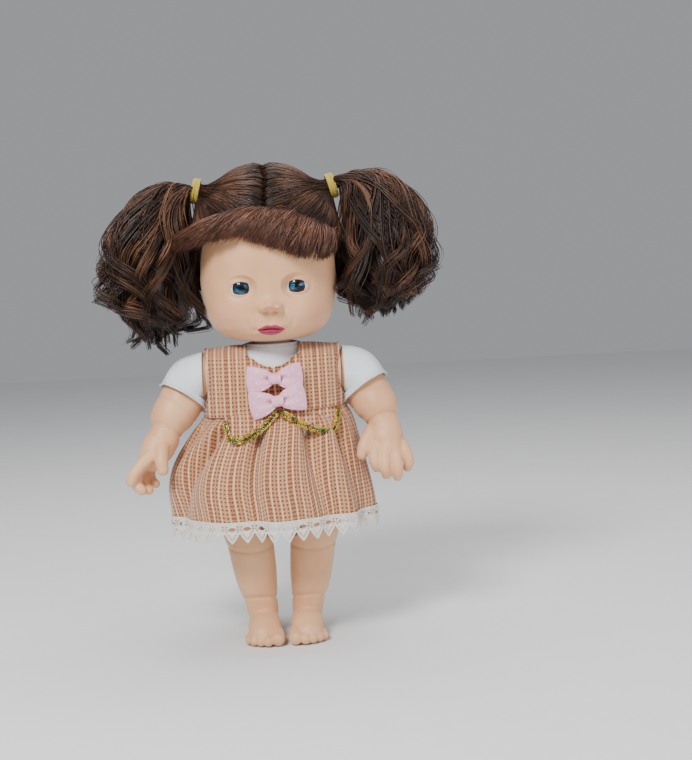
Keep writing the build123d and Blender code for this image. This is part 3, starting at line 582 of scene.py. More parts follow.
# ellipse-like level outlines give the skull, and bell-shaped rises and dips give the features of the face
def headSurface(theta, z):
    keys = np.array(head["levels"])
    half, front, back = (smoothCurve(keys[:, 0], keys[:, k], z) for k in (1, 2, 3))
    power = 2.0 + 0.35 * bump(z, 14, 16)  # the lower face is a little square
    s, c = np.sin(theta), np.cos(theta)
    x = half * np.sign(s) * np.abs(s) ** (2 / power)
    y = -np.where(c > 0, front, back) * np.sign(c) * np.abs(c) ** (2 / power)
    facing = smoothStep(0.15, 0.5, c)
    side = np.abs(x)
    out = 1.9 * bump(side, 23, 11) * bump(z, 17, 9)  # cheeks
    out = out + 1.2 * bump(x, 0, 26) * bump(z, 58, 16)  # forehead
    out = out + 1.3 * bump(x, 0, 3.6) * bump(z, 27.0, 7.0)  # bridge of the nose
    out = out + 6.6 * bump(x, 0, 4.2) * bump(z, 21.0, 3.2) * smoothStep(16.6, 18.6, z)  # tip
    out = out + 5.0 * bump(side, 5.0, 2.1) * bump(z, 19.6, 2.1) * smoothStep(16.8, 18.2, z)  # nostril wings
    out = out - 1.6 * bump(side, 2.6, 1.3) * bump(z, 17.3, 0.8)  # nostrils
    out = out - 0.9 * bump(side, 7.9, 1.1) * bump(z, 18.9, 2.0)  # crease beside the wings
    out = out - 0.6 * bump(x, 0, 1.3) * bump(z, 13.0, 2.0) + 0.35 * bump(side, 2.6, 1.2) * bump(z, 12.8, 2.2)
    out = out + 2.1 * bump(x, 0, 9.5) * bump(z, head["mouthZ"] + 0.6, 5.6)  # muzzle
    out = out - 0.8 * bump(side - 0.25 * (z - 8), 12.0, 1.5) * bump(z, 9.0, 4.0)  # smile fold
    upper, parting, lower = lipHeights(x)
    high = z - head["mouthZ"]
    inside = smoothStep(head["mouthHalf"] + 0.3, head["mouthHalf"] - 3.0, side)
    out = out + 1.55 * inside * bump(high, (upper + parting) / 2, 1.25)
    out = out + 2.0 * inside * bump(high, (lower + parting) / 2, 1.45)
    out = out - 1.5 * smoothStep(head["mouthHalf"] + 1.2, head["mouthHalf"] - 1.5, side) * bump(high,
        parting, 0.42)
    out = out - 0.9 * bump(side, head["mouthHalf"] + 1.0, 1.5) * bump(high, 0, 1.6)  # corners
    out = out - 1.1 * bump(x, 0, 6.5) * bump(high, -5.0, 1.5)  # dip above the chin
    out = out + 1.6 * bump(x, 0, 7.5) * bump(z, 1.0, 3.2)  # chin
    y = y - facing * out
    lips = np.where((c > 0), np.minimum(upper - high, high - lower), -5.0)
    lips = np.where(side < head["mouthHalf"] + 0.4, lips, -5.0)
    blush = (bump(side, 25, 9) * bump(z, 15, 8) + 0.5 * bump(x, 0, 5) * bump(z, 20, 3)) * facing
    # eyes: the face eases back to a skin just over the eyeball, then dips steeply inside the opening
    dx = side - eyeBall["x"]
    dz = z + head["bottom"] - eyeBall["z"]
    near = np.sqrt(np.abs(dx / head["eyeHalf"]) ** 2.0 + (dz / np.where(dz > 0, head["lidTop"],
        head["lidBottom"])) ** 2)
    lidR = eyeBall["radius"] + 0.75
    lidY = eyeBall["y"] - np.sqrt(np.maximum(lidR ** 2 - dx ** 2 - dz ** 2, 4.0))
    reach = np.sqrt((dx / 12.0) ** 2 + (dz / 10.0) ** 2)
    ease = (1 - smoothStep(0.42, 0.80, reach)) * (c > 0)
    y = y * (1 - ease) + lidY * ease
    crease = bump(near, 1.45, 0.10) * smoothStep(1.0, 3.0, dz)
    y = y + np.where(c > 0, 0.30 * crease, 0)
    y = y + np.where(c > 0, 5.5 * (1 - smoothStep(0.90, 1.0, near)), 0)
    return x, y, lips, blush


def buildHead():
    theta = densePlaces(-math.pi, math.pi, head["columns"] + 1,
        [(0.42, 0.30, 2.6), (-0.42, 0.30, 2.6), (0, 0.2, 0.8)])[:-1]
    z = densePlaces(0.0, head["top"] - head["bottom"] - 0.15, head["rows"],
                    [(31.4, 6.5, 3.0), (7.5, 5.0, 2.2), (20.0, 4.0, 1.0)])
    tt, zz = np.meshgrid(theta, z, indexing="ij")
    x, y, lips, blush = headSurface(tt, zz)
    points = np.stack([x, y, zz + head["bottom"]], -1)
    # the neck lip: the lowest rings turn in and up round the post
    turnIn = np.linspace(0, 1, 8)[1:]
    first = points[:, :1, :]
    scale = 1 - turnIn[None, :, None] * (1 - 11.4 / np.linalg.norm(first[..., :2], axis=-1)[..., None])
    inner = np.concatenate([first[..., :2] * scale, (head["bottom"] + 2.2 * turnIn[None, :, None] ** 2
                                                     - 0.5 * np.sin(np.pi * turnIn)[None, :,
                                                     None]) + 0 * first[..., :1]], -1)
    points = np.concatenate([inner[:, ::-1], points], 1)
    pad = np.zeros((len(theta), 7))
    values = {"lips": np.concatenate([pad - 5, lips], 1), "blush": np.concatenate([pad, blush], 1)}
    made = gridPiece("vinyl_head", points, (0, 0, 232), closeU=True, values=values)
    return finishPiece(made, faceSkin, "head", "skin_vinyl", "head_shell")


# a thin rounded rim follows the edge of each eye opening: an almond outline laid on the eyeball's skin
def buildLidRims():
    turn = np.linspace(0, 2 * math.pi, 97)
    pieces = []
    for side in (1, -1):
        dx = head["eyeHalf"] * np.cos(turn) * 0.985
        dz = np.where(np.sin(turn) >= 0, head["lidTop"], head["lidBottom"]) * np.sin(turn) * 0.985
        lidR = eyeBall["radius"] + 0.55
        y = eyeBall["y"] - np.sqrt(lidR ** 2 - dx ** 2 - dz ** 2)
        path = np.stack([side * (eyeBall["x"] + dx), y, eyeBall["z"] + dz], -1)
        thick = 0.42 + 0.12 * np.clip(np.sin(turn), 0, 1)
        points, corners = tubeArrays(path, thick, 8)
        pieces.append((points, corners[:1]))
    points, corners = joinArrays(pieces)
    made = turnOut(makeMesh("eye_rims", points, corners), 0.02)
    return finishPiece(made, skin, "head", "skin_vinyl")


buildHead()
buildLidRims()
print("head made")

# arms and legs


# round-ended tube with a smoothly varying radius: rings along a curve through the key points
def limbArrays(keys, sides=26, steps=9, flat=1.0, towards=(0.0, -1.0, 0.0)):
    keys = np.asarray(keys, float)
    knots = np.concatenate([[0], np.cumsum(np.linalg.norm(np.diff(keys[:, :3], axis=0), axis=1))])
    s = np.linspace(0, knots[-1], steps * (len(keys) - 1) + 1)
    path = np.stack([smoothCurve(knots, keys[:, k], s) for k in range(3)], -1)
    radius = smoothCurve(knots, keys[:, 3], s)
    along = unit(np.gradient(path, axis=0))
    cap = np.linspace(0, math.pi / 2, 7)[:-1]
    startPath = path[0] - along[0] * (radius[0] * np.cos(cap))[:, None]
    endPath = path[-1] + along[-1] * (radius[-1] * np.cos(cap[::-1]))[:, None]
    path = np.concatenate([startPath, path, endPath])
    radius = np.concatenate([radius[0] * np.sin(cap) + 0.02, radius, radius[-1] * np.sin(cap[::-1]) + 0.02])
    return tubeArrays(path, radius, sides, flat, towards)


def mergeSkin(name, pieces, voxel, smoothSteps):
    points, corners = joinArrays(pieces)
    made = turnOut(makeMesh(name, points, corners))
    fuse = made.modifiers.new("fuse", "REMESH")
    fuse.mode = "VOXEL"
    fuse.voxel_size = voxel * mm
    fuse.use_smooth_shade = True
    ease = made.modifiers.new("ease", "SMOOTH")
    ease.factor = 0.5
    ease.iterations = smoothSteps
    applyModifiers(made)
    made.data.polygons.foreach_set("use_smooth", np.ones(len(made.data.polygons), bool))
    return made


arms = {
    "left": {
        "side": 1,
        "chain": [(46, 0, 161, 13.6), (52.5, -1, 152.5, 13.4), (58.0, -4, 144, 13.3), (62.0, -8, 136.5, 12.2),
                  (63.6, -11, 130.0, 9.3), (65.0, -14, 125.0, 9.6)],
        "palm": [(63.8, -12, 128, 8.8), (65.0, -18, 120.5, 10.2), (65.8, -21, 115.5, 8.2)],
        "fingers": [
            [(58.6, -18, 119, 4.0), (56.8, -25.5, 112.5, 3.4), (56.6, -28.3, 107.6, 3.2),
            (57.8, -26.2, 104.0, 2.9)],
            [(63.2, -19, 117, 4.1), (62.8, -27.0, 110.0, 3.5), (62.4, -29.5, 103.4, 3.3),
            (63.4, -26.8, 99.6, 3.0)],
            [(68.2, -19, 117, 4.1), (69.6, -26.6, 109.0, 3.5), (69.9, -28.6, 101.6, 3.3),
            (70.0, -25.6, 98.0, 3.0)],
            [(72.6, -18, 118, 3.8), (76.0, -23.8, 111.5, 3.2), (77.0, -25.0, 105.6, 3.0),
            (76.4, -22.4, 102.4, 2.7)],
            [(58.4, -13, 125.5, 5.0), (53.4, -19.0, 120.0, 4.2), (50.8, -21.6, 115.0, 3.8),
            (49.8, -22.0, 111.6, 3.3)],
        ],
    },
    "right": {
        "side": -1,
        "chain": [(46, 0, 161, 13.6), (52.0, -1, 152.5, 13.2), (57.6, -4, 144, 13.2), (62.6, -8, 136.5, 12.0),
                  (65.2, -11, 130.0, 9.3), (67.0, -13, 125.5, 9.6)],
        "palm": [(65.5, -12, 128, 8.8), (70.4, -16, 120.5, 9.8), (73.6, -17.6, 115.5, 8.0)],
        "fingers": [
            [(73.0, -22, 118, 4.1), (79.6, -26.5, 112.6, 3.5), (84.0, -28.4, 107.0, 3.3),
            (85.4, -28.4, 103.6, 2.9)],
            [(75.6, -18.6, 115, 4.1), (81.8, -21.6, 108.4, 3.5), (82.6, -25.0, 101.6, 3.3),
            (79.6, -27.0, 98.2, 2.9)],
            [(75.0, -13.6, 114, 4.0), (80.0, -15.0, 106.0, 3.4), (79.2, -18.6, 99.4, 3.2),
            (76.2, -21.0, 97.2, 2.8)],
            [(72.6, -9.4, 115, 3.8), (75.8, -9.4, 107.6, 3.2), (75.2, -12.0, 101.8, 3.0),
            (72.8, -14.4, 99.8, 2.7)],
            [(66.6, -17, 125.0, 5.0), (67.4, -23.5, 119.0, 4.2), (67.2, -27.0, 113.4, 3.8),
            (66.6, -28.4, 109.6, 3.3)],
        ],
    },
}
skinMesh = {"voxel": 0.6, "smooth": 3}


def sideways(keys, side):
    keys = np.array(keys, float)
    keys[:, 0] *= side
    return keys


# joint folds: each vertex near a fold's ring is pulled in by a narrow bell curve of its distance to the
# fold's plane
def pressFolds(obj, folds):
    mesh = obj.data
    co = np.empty(len(mesh.vertices) * 3)
    mesh.vertices.foreach_get("co", co)
    co = co.reshape(-1, 3) / mm
    for centre, normal, reach, width, depth in folds:
        centre, normal = np.array(centre, float), unit(np.array(normal, float))
        away = co - centre
        high = away @ normal
        radial = away - high[:, None] * normal
        size = np.linalg.norm(radial, axis=1)
        pull = depth * np.exp(-(high / width) ** 2) * (size < reach)
        co -= radial / np.maximum(size, 1e-6)[:, None] * pull[:, None]
    mesh.vertices.foreach_set("co", (co * mm).ravel())
    mesh.update()


def buildArm(name, facts):
    side = facts["side"]
    pieces = [limbArrays(sideways(facts["chain"], side), 40),
        limbArrays(sideways(facts["palm"], side), 32, flat=0.82)]
    pieces += [limbArrays(sideways(f, side), 20) for f in facts["fingers"]]
    made = mergeSkin(name + "_vinyl_arm", pieces, skinMesh["voxel"], skinMesh["smooth"])
    wrist = np.array(facts["chain"][4][:3], float) * (side, 1, 1)
    elbow = np.array(facts["chain"][2][:3], float) * (side, 1, 1)
    down = np.array(facts["palm"][1][:3], float) * (side, 1, 1) - elbow
    pressFolds(made, [(wrist + (0, 0, 0.6), down, 16, 0.9, 1.0),
        (elbow + (side * 2.0, 0, -1.5), down + (0, 4, 8), 17, 0.8, 0.45)])
    # the shoulder end is cut flat where it meets the body's socket
    low, high = spot(name + "_arm")
    work = bmesh.new()
    work.from_mesh(made.data)
    face = side * (min(abs(low[0]), abs(high[0])) + 6.8) * mm
    every = work.verts[:] + work.edges[:] + work.faces[:]
    cut = bmesh.ops.bisect_plane(work, geom=every, plane_co=(face, 0, 0), plane_no=(-side, 0, 0),
        clear_outer=True)
    rim = [e for e in cut["geom_cut"] if isinstance(e, bmesh.types.BMEdge)]
    bmesh.ops.holes_fill(work, edges=rim, sides=0)
    work.to_mesh(made.data)
    work.free()
    made.data.polygons.foreach_set("use_smooth", np.ones(len(made.data.polygons), bool))
    return finishPiece(made, skin, name + "_arm", "skin_vinyl", name + "_arm")


legs = {
    "chain": [(22.5, 0, 98, 17.6), (21.5, -0.5, 84, 17.2), (20.2, -1, 68, 15.6), (19.0, -0.6, 58, 14.0),
    (17.8, 0.6, 47, 13.4),
              (16.2, 1.8, 34, 12.2), (14.6, 2.8, 23, 10.2), (13.6, 3.0, 15, 9.4)],
    "foot": [(13.2, 4.5, 10.0, 8.6), (13.0, -3.0, 9.6, 9.6), (13.0, -12.0, 7.6, 9.8),
    (13.4, -16.5, 6.0, 8.6)],
    "toes": [
        [(6.4, -15, 5.8, 4.6), (5.4, -21.0, 5.4, 4.5), (5.3, -24.0, 4.7, 4.2)],
        [(10.6, -16, 5.0, 3.9), (11.0, -22.0, 4.8, 3.5), (11.0, -24.9, 3.9, 3.2)],
        [(14.4, -15.5, 4.8, 3.7), (15.3, -21.0, 4.5, 3.3), (15.5, -23.7, 3.7, 3.0)],
        [(17.8, -14, 4.6, 3.5), (19.0, -19.0, 4.2, 3.1), (19.4, -21.4, 3.5, 2.8)],
        [(20.4, -12, 4.4, 3.2), (21.9, -16.0, 4.0, 2.9), (22.3, -18.2, 3.3, 2.6)],
    ],
}


def buildLeg(name, side):
    pieces = [limbArrays(sideways(legs["chain"], side), 44)]
    pieces.append(limbArrays(sideways(legs["foot"], side), 36, flat=0.86, towards=(0, 0, 1)))
    pieces += [limbArrays(sideways(t, side), 18) for t in legs["toes"]]
    made = mergeSkin(name + "_vinyl_leg", pieces, skinMesh["voxel"], skinMesh["smooth"])
    ankle, knee = np.array(legs["chain"][6][:3], float) * (side, 1, 1), np.array(legs["chain"][3][:3],
        float) * (side, 1, 1)
    pressFolds(made, [(ankle, (0, 0.3, 1), 15, 1.0, 0.9), (knee, (0, -0.2, 1), 20, 1.2, 0.6)])
    mesh = made.data
    co = np.empty(len(mesh.vertices) * 3)
    mesh.vertices.foreach_get("co", co)
    co = co.reshape(-1, 3)
    co[:, 2] = np.where(co[:, 2] < 0.9 * mm, 0.9 * mm * np.exp(np.minimum(co[:, 2] / (0.9 * mm) - 1,
        0) * 1.0), co[:, 2])
    co[:, 2] -= co[:, 2].min()
    inner = (0.7 + 11.8 * smoothStep(58, 67, co[:, 2] / mm)) * mm  # the inner thigh is flat beside the body
    co[:, 0] = side * np.maximum(side * co[:, 0], inner)
    mesh.vertices.foreach_set("co", co.ravel())
    mesh.update()
    return finishPiece(made, skin, name + "_leg", "skin_vinyl", name + "_leg")


for name, facts in arms.items():
    buildArm(name, facts)
for name, side in (("left", 1), ("right", -1)):
    buildLeg(name, side)
print("arms and legs made")

# T-shirt

shirt = {"columns": 180, "rows": 70, "hem": 121.5,
         # height, half width, reach to front and back: the body under the pinafore
         "levels": [(118.0, 37.6, 31.0, 27.6), (126, 37.6, 31.0, 27.3), (138, 37.0, 28.9, 26.4),
         (150, 37.2, 26.5, 25.4),
                    (160, 38.8, 24.5, 24.0), (167, 38.8, 21.8, 21.8), (172, 35.0, 19.0, 19.2),
                    (175.6, 27.0, 16.6, 16.8),
                    (177.8, 19.0, 15.2, 15.4), (178.4, 15.6, 14.2, 14.4)],
         "collarR": 15.2, "collarZ": 178.6}


def levelPoint(levels, theta, z, power=2.0):
    keys = np.array(levels)
    half, front, back = (smoothCurve(keys[:, 0], keys[:, k], z) for k in (1, 2, 3))
    s, c = np.sin(theta), np.cos(theta)
    x = half * np.sign(s) * np.abs(s) ** (2 / power)
    y = -np.where(c > 0, front, back) * np.sign(c) * np.abs(c) ** (2 / power)
    return x, y


def buildShirt():
    theta = np.linspace(-math.pi, math.pi, shirt["columns"] + 1)
    z = densePlaces(shirt["hem"], shirt["levels"][-1][0], shirt["rows"], [(176, 4, 2.0)])
    tt, zz = np.meshgrid(theta, z, indexing="ij")
    x, y = levelPoint(shirt["levels"], tt, zz)
    soft = 0.25 * np.sin(tt * 7 + zz * 0.2) * np.sin(zz * 0.33) * smoothStep(178, 168, zz)
    points = np.stack([x * (1 + soft / 40), y * (1 + soft / 25), zz], -1)
    uv = np.stack([tt * 36, zz], -1)
    made = turnOut(gridPiece("shirt_body", points, (0, 0, 150), uv=uv), 0.05)
    thicken(made, 0.35)
    finishPiece(made, jersey, "torso", "white_jersey", "tshirt_body")


# ribbed neckband: a flattened ring carried round the neck
def buildCollar():
    turn = np.linspace(0, 2 * math.pi, 181)
    r = shirt["collarR"]
    path = np.stack([r * np.sin(turn), -r * 0.94 * np.cos(turn), shirt["collarZ"] + 0 * turn], -1)
    path[:, 2] -= 0.5 * np.cos(turn)
    swell = 1.45 + 0.06 * np.sin(turn * 90)
    points, corners = tubeArrays(path, swell, 12, 0.8, (0, 0, 1))
    made = turnOut(makeMesh("shirt_neckband", points, corners[:1]), 0.02)
    finishPiece(made, whiteThread, "torso", "white_jersey", "tshirt_collar")


sleeve = {"rings": 64, "steps": 46, "hemTurn": 1.5}


# sleeve: rings round the arm from the armhole to the hem, wider at the hem, with soft folds that run down
# the arm
def buildSleeve(name, side):
    chain = np.array(arms[name]["chain"][:4], float)
    knots = np.concatenate([[0], np.cumsum(np.linalg.norm(np.diff(chain[:, :3], axis=0), axis=1))])
    t = np.linspace(0, 1, sleeve["steps"])
    s = t * 14.8
    path = np.stack([smoothCurve(knots, chain[:, k], s) for k in range(3)], -1)
    radius = smoothCurve(knots, chain[:, 3], s) + 1.3 + 1.6 * t ** 2
    along = unit(np.gradient(path, axis=0))
    # the first rings square up to the body, the last ones to the arm
    squareUp = (1 - smoothStep(0.0, 0.75, t))[:, None]
    along = unit(along * (1 - squareUp) + np.array([1.0, 0, 0]) * squareUp)
    front = np.array([0.0, -1.0, 0.0])
    over = unit(np.cross(np.cross(along, front), along))
    up = np.cross(over, along)
    up = up * np.sign(up[:, 2:3])
    turn = np.linspace(0, 2 * math.pi, sleeve["rings"] + 1)
    fold = 1 + (0.030 * np.sin(turn * 3 + 0.6) + 0.018 * np.sin(turn * 7 + 1.0))[None, :] * (0.3 + t[:, None])
    ring = np.cos(turn)[None, :, None] * over[:, None] + np.sin(turn)[None, :, None] * up[:, None]
    start = path - np.array([4.0, 0, 0]) * (1 - smoothStep(0, 0.5, t))[:, None]
    points = start[:, None] + (radius[:, None] * fold)[..., None] * ring
    points[..., 2] += 2.6 * np.sin(math.pi * np.clip(t * 1.1, 0, 1))[:, None] * np.clip(np.sin(turn), 0,
        1)[None, :]
    points[..., 0] *= side
    uv = np.stack(np.broadcast_arrays(turn[None, :] * 15, t[:, None] * 22), -1)
    middle = path[len(path) // 2] * (side, 1, 1)
    made = turnOut(gridPiece(name + "_shirt_sleeve", points, middle, uv=uv), 0.05)
    thicken(made, 0.45)
    finishPiece(made, jersey, name + "_arm", "white_jersey", name + "_sleeve")
    # hem: a rolled edge, and a line of stitches above it
    edge = points[-1]
    outline, corners = tubeArrays(edge, 0.55, 8, towards=along[-1] * (side, 1, 1))
    rim = turnOut(makeMesh(name + "_sleeve_hem", outline, corners[:1]), 0.02)
    finishPiece(rim, whiteThread, name + "_arm", "white_jersey")
    row = points[-6]
    middle = row[:-1].mean(axis=0)
    stitches = []
    for k in range(0, len(row) - 1, 2):
        a, b = row[k], row[k + 1]
        outwards = unit((a + b) / 2 - middle) * 0.30
        stitches.append(tubeArrays(np.array([a, (a + b) / 2 + outwards, b]), [0.13, 0.17, 0.13], 5,
            towards=outwards))
    threadPoints, threadCorners = joinArrays(stitches)
    thread = turnOut(makeMesh(name + "_sleeve_stitches", threadPoints, threadCorners))
    finishPiece(thread, whiteThread, name + "_arm", "white_jersey")


buildShirt()
buildCollar()
for name, side in (("left", 1), ("right", -1)):
    buildSleeve(name, side)
print("T-shirt made")

# pinafore bodice

bodice = {
    "waist": bodiceLow[2] - 0.4, "turn": 172.0, "top": 178.9,
    # height, half width, reach to front and back
    "levels": [(139.0, 42.3, 31.6, 30.0), (145, 42.6, 30.6, 29.2), (152, 43.0, 29.8, 28.6),
    (160, 43.4, 28.2, 27.4),
               (167, 43.6, 26.0, 25.6), (172.0, 43.6, 23.2, 23.4)],
    # height and half width of the strap's outer edge
    "outer": [(139.0, 42.3), (143.5, 42.3), (146.5, 40.6), (151, 38.6), (157, 37.4), (164, 37.4),
    (170, 38.6), (178.9, 39.8)],
    "scoopZ": 182.0, "scoopR": 16.0, "scoopHigh": 16.2, "backScoopZ": 190.0,
    "across": 44, "rows": 100,
}


# the cloth runs from the front waist up over the shoulder and down to the back waist. Across it,
# points go from the neckline or the middle out to the armhole or the side seam
def bodicePoints(side):
    b = bodice
    rise = b["turn"] - b["waist"]
    arc = 26.0
    t = densePlaces(-rise - arc, rise + arc, 2 * b["rows"] + 1,
        [(-(arc + 5.9), 2.0, 12.0), (arc + 2, 3.0, 2.0)])
    over = np.abs(t) < arc
    angle = np.clip(t / arc, -1, 1) * math.pi / 2
    z = np.where(over, b["turn"] + (b["top"] - b["turn"]) * np.cos(angle), b["turn"] - (np.abs(t) - arc))
    keys = np.array(b["levels"])
    half = smoothCurve(keys[:, 0], keys[:, 1], np.minimum(z, b["turn"]))
    front = smoothCurve(keys[:, 0], keys[:, 2], np.minimum(z, b["turn"]))
    back = smoothCurve(keys[:, 0], keys[:, 3], np.minimum(z, b["turn"]))
    reach = np.where(t < 0, -front, back) * np.where(over, np.abs(np.sin(angle)), 1.0)
    outerKeys = np.array(b["outer"])
    outer = smoothCurve(outerKeys[:, 0], outerKeys[:, 1], z)
    scoopZ = np.where(t < 0, b["scoopZ"], b["backScoopZ"])
    scoop = b["scoopR"] * np.sqrt(np.clip(1 - ((scoopZ - z) / b["scoopHigh"]) ** 2, 0, 1))
    inner = np.where(z > scoopZ - b["scoopHigh"], scoop, 0.0)
    inner = np.where(over, np.maximum(inner, 15.2 + 1.4 * np.cos(angle)), inner)
    s = np.linspace(0, 1, b["across"])
    x = inner[:, None] + s[None, :] * (outer - inner)[:, None]
    power = 2.35
    depth = np.clip(1 - (x / half[:, None]) ** power, 0, 1) ** (1 / power)
    y = reach[:, None] * depth
    sink = 1.6 * smoothStep(20, 40, x) * np.where(over, np.cos(angle), 0)[:, None]
    zz = z[:, None] - sink
    ripple = 0.22 * np.sin(x * 0.42 + 1.0) * np.sin(zz * 0.16) + 0.5 * bump(zz, b["waist"],
        5) * np.sin(x * 0.55 + side)
    y = y + np.sign(reach)[:, None] * ripple * np.where(over, 0, 1)[:, None]
    points = np.stack([x * side, y, zz + 0 * x], -1)
    uv = np.stack([x * side + 0 * zz, t[:, None] + 0 * x], -1)
    return points, uv


def waistLine(x):  # the seam sags a little on the doll's right side
    return 0.055 * x


# a turned edge: one round profile carried along each row of points
def edgeRoll(name, rows, body, radius=0.62):
    pieces = []
    for row in rows:
        outline, corners = tubeArrays(row, radius, 7, towards=(0.1, 0.2, 1.0))
        pieces.append((outline, corners))
    points, corners = joinArrays(pieces)
    made = turnOut(makeMesh(name, points, corners))
    uvLayer = made.data.uv_layers.new(name="UVMap")
    co = np.empty(len(made.data.vertices) * 3)
    made.data.vertices.foreach_get("co", co)
    co = co.reshape(-1, 3) / mm
    index = np.empty(len(made.data.loops), np.int32)
    made.data.loops.foreach_get("vertex_index", index)
    uvLayer.data.foreach_set("uv", co[index][:, (0, 2)].ravel())
    return finishPiece(made, check, body, "check_cloth")


def buildBodice():
    parts, rolls = [], []
    for side in (1, -1):
        points, uv = bodicePoints(side)
        shift = waistLine(points[..., 0]) * smoothStep(160, 139, points[..., 2])
        points[..., 2] += shift
        made = gridPiece(f"bodice_half_{'left' if side > 0 else 'right'}", points, (0, 0, 158), uv=uv)
        parts.append(made)
        outerEdge = points[:, -1]
        inside = outerEdge[:, 2] > 144.5 + waistLine(outerEdge[:, 0])
        rolls.append(outerEdge[inside])
        innerEdge = points[:, 0]
        rolls.append(innerEdge[np.abs(innerEdge[:, 0]) > 0.3])
    joined = joinObjects("pinafore_bodice", parts)
    turnOut(joined, 0.12)
    thicken(joined, 0.7)
    finishPiece(joined, check, "torso", "check_cloth", "dress_bodice")
    edgeRoll("bodice_edges", rolls, "torso")


def joinObjects(name, parts):
    work = bmesh.new()
    for part in parts:
        work.from_mesh(part.data)
    mesh = bpy.data.meshes.new(name)
    work.to_mesh(mesh)
    work.free()
    for part in parts:
        bpy.data.objects.remove(part)
    mesh.polygons.foreach_set("use_smooth", np.ones(len(mesh.polygons), bool))
    made = bpy.data.objects.new(name, mesh)
    bpy.context.scene.collection.objects.link(made)
    return made


buildBodice()
print("bodice made")

# skirt

skirt = {
    "top": skirtHigh[2] + 0.3, "hem": skirtLow[2] - 0.3,
    # share of the way down, half width, reach to front and back, shift sideways
    "levels": [(0.0, 41.9, 31.2, 29.8, 0.0), (0.12, 46.5, 35.2, 33.5, -1.0), (0.3, 52.0, 40.0, 38.5, -3.2),
               (0.5, 57.0, 43.4, 42.0, -5.0), (0.7, 60.0, 45.6, 44.4, -5.4), (0.88, 60.6, 46.4, 45.4, -4.2),
               (1.0, 60.4, 46.6, 45.6, -3.4)],
    "columns": 640, "rows": 78,
    # deep pleats: angle from the front (positive towards the doll's left), half width, depth, slant
    "deep": [(-0.66, 0.070, 11.0, -0.44), (-0.17, 0.045, 9.5, 0.02), (0.42, 0.070, 10.0, 0.16),
    (0.86, 0.060, 7.0, 0.14),
             (-1.25, 0.06, 5.0, -0.14), (1.55, 0.05, 4.6, 0.06), (2.1, 0.05, 5.2, 0.04),
             (2.6, 0.05, 5.2, 0.0),
             (-1.8, 0.05, 5.0, -0.05), (-2.4, 0.05, 5.2, 0.0), (-2.95, 0.05, 5.2, 0.0)],
}


def skirtLevel(t):  # half width, front, back and shift at a share of the way down
    keys = np.array(skirt["levels"])
    return (smoothCurve(keys[:, 0], keys[:, k], t) for k in (1, 2, 3, 4))


# an ellipse that widens from waist to hem; the deep pleats are bell-shaped dips that slant and open out
# on the way down, and small gathers fade from the waist
def skirtPoints(theta, t, grow=0.0):
    half, front, back, shift = skirtLevel(t)
    dip = 0 * theta * t
    for angle, width, depth, slant in skirt["deep"]:
        middle = angle + slant * t
        wide = width * (1 + 1.3 * t)
        away = (theta - middle + math.pi) % (2 * math.pi) - math.pi
        strength = smoothStep(0.0, 0.16, t) * (1 - 0.70 * t)
        dip = dip + depth * strength * np.exp(-np.abs(away / wide) ** 1.35)
        dip = dip - 0.34 * depth * strength * (np.exp(-((away - 2.1 * wide) / (1.5 * wide)) ** 2)
                                               + np.exp(-((away + 2.1 * wide) / (1.5 * wide)) ** 2))
    gather = 0.45 * np.sin(theta * 34 + 1.3 * np.sin(theta * 5)) * np.exp(-t * 7) * smoothStep(0, 0.03, t)
    wave = 1.2 * np.sin(theta * 9 + 0.8) * t ** 1.4 + 0.8 * np.sin(theta * 14 + 2.0) * t ** 2
    r = grow - dip + gather + wave
    x = (half + r) * np.sin(theta) + shift
    c = np.cos(theta)
    y = -(np.where(c > 0, front, back) + r) * c
    z = skirt["top"] + (skirt["hem"] - skirt["top"]) * t + waistLine(x) * (1 - t) ** 2
    return np.stack(np.broadcast_arrays(x, y, z), -1)


def buildSkirt():
    theta = np.linspace(-math.pi, math.pi, skirt["columns"] + 1)
    t = np.linspace(0, 1, skirt["rows"]) ** 1.1
    points = skirtPoints(theta[:, None], t[None, :])
    half = int(skirt["rows"] * 0.55)
    step = np.linalg.norm(np.diff(points[:, half, :2], axis=0), axis=1)
    run = np.concatenate([[0], np.cumsum(step)])
    run -= run[len(run) // 2]
    down = np.linalg.norm(np.diff(points, axis=1), axis=-1)
    drop = np.concatenate([np.zeros((len(theta), 1)), np.cumsum(down, axis=1)], 1)
    uv = np.stack([run[:, None] + 0 * drop, -drop], -1)
    for name, pick in (("left", slice(skirt["columns"] // 2, None)),
        ("right", slice(0, skirt["columns"] // 2 + 1))):
        side = 1 if name == "left" else -1
        made = gridPiece(name + "_skirt", points[pick], (0, 0, 110), uv=uv[pick])
        applyBlend(made, name)
        thicken(made, 0.55)
        nodes = ("dress_skirt",) if side > 0 else ()
        finishPiece(made, check, None, "check_cloth", *nodes)


def applyBlend(obj, name):
    low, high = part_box(name + "_leg")
    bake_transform(obj)


buildSkirt()
print("skirt made")

# crocheted hem

lace = {"repeat": 8.6, "thread": 0.36, "ovalDrop": 4.0, "ovalHalf": (2.5, 1.5), "fanTop": 6.0, "tip": 11.9}
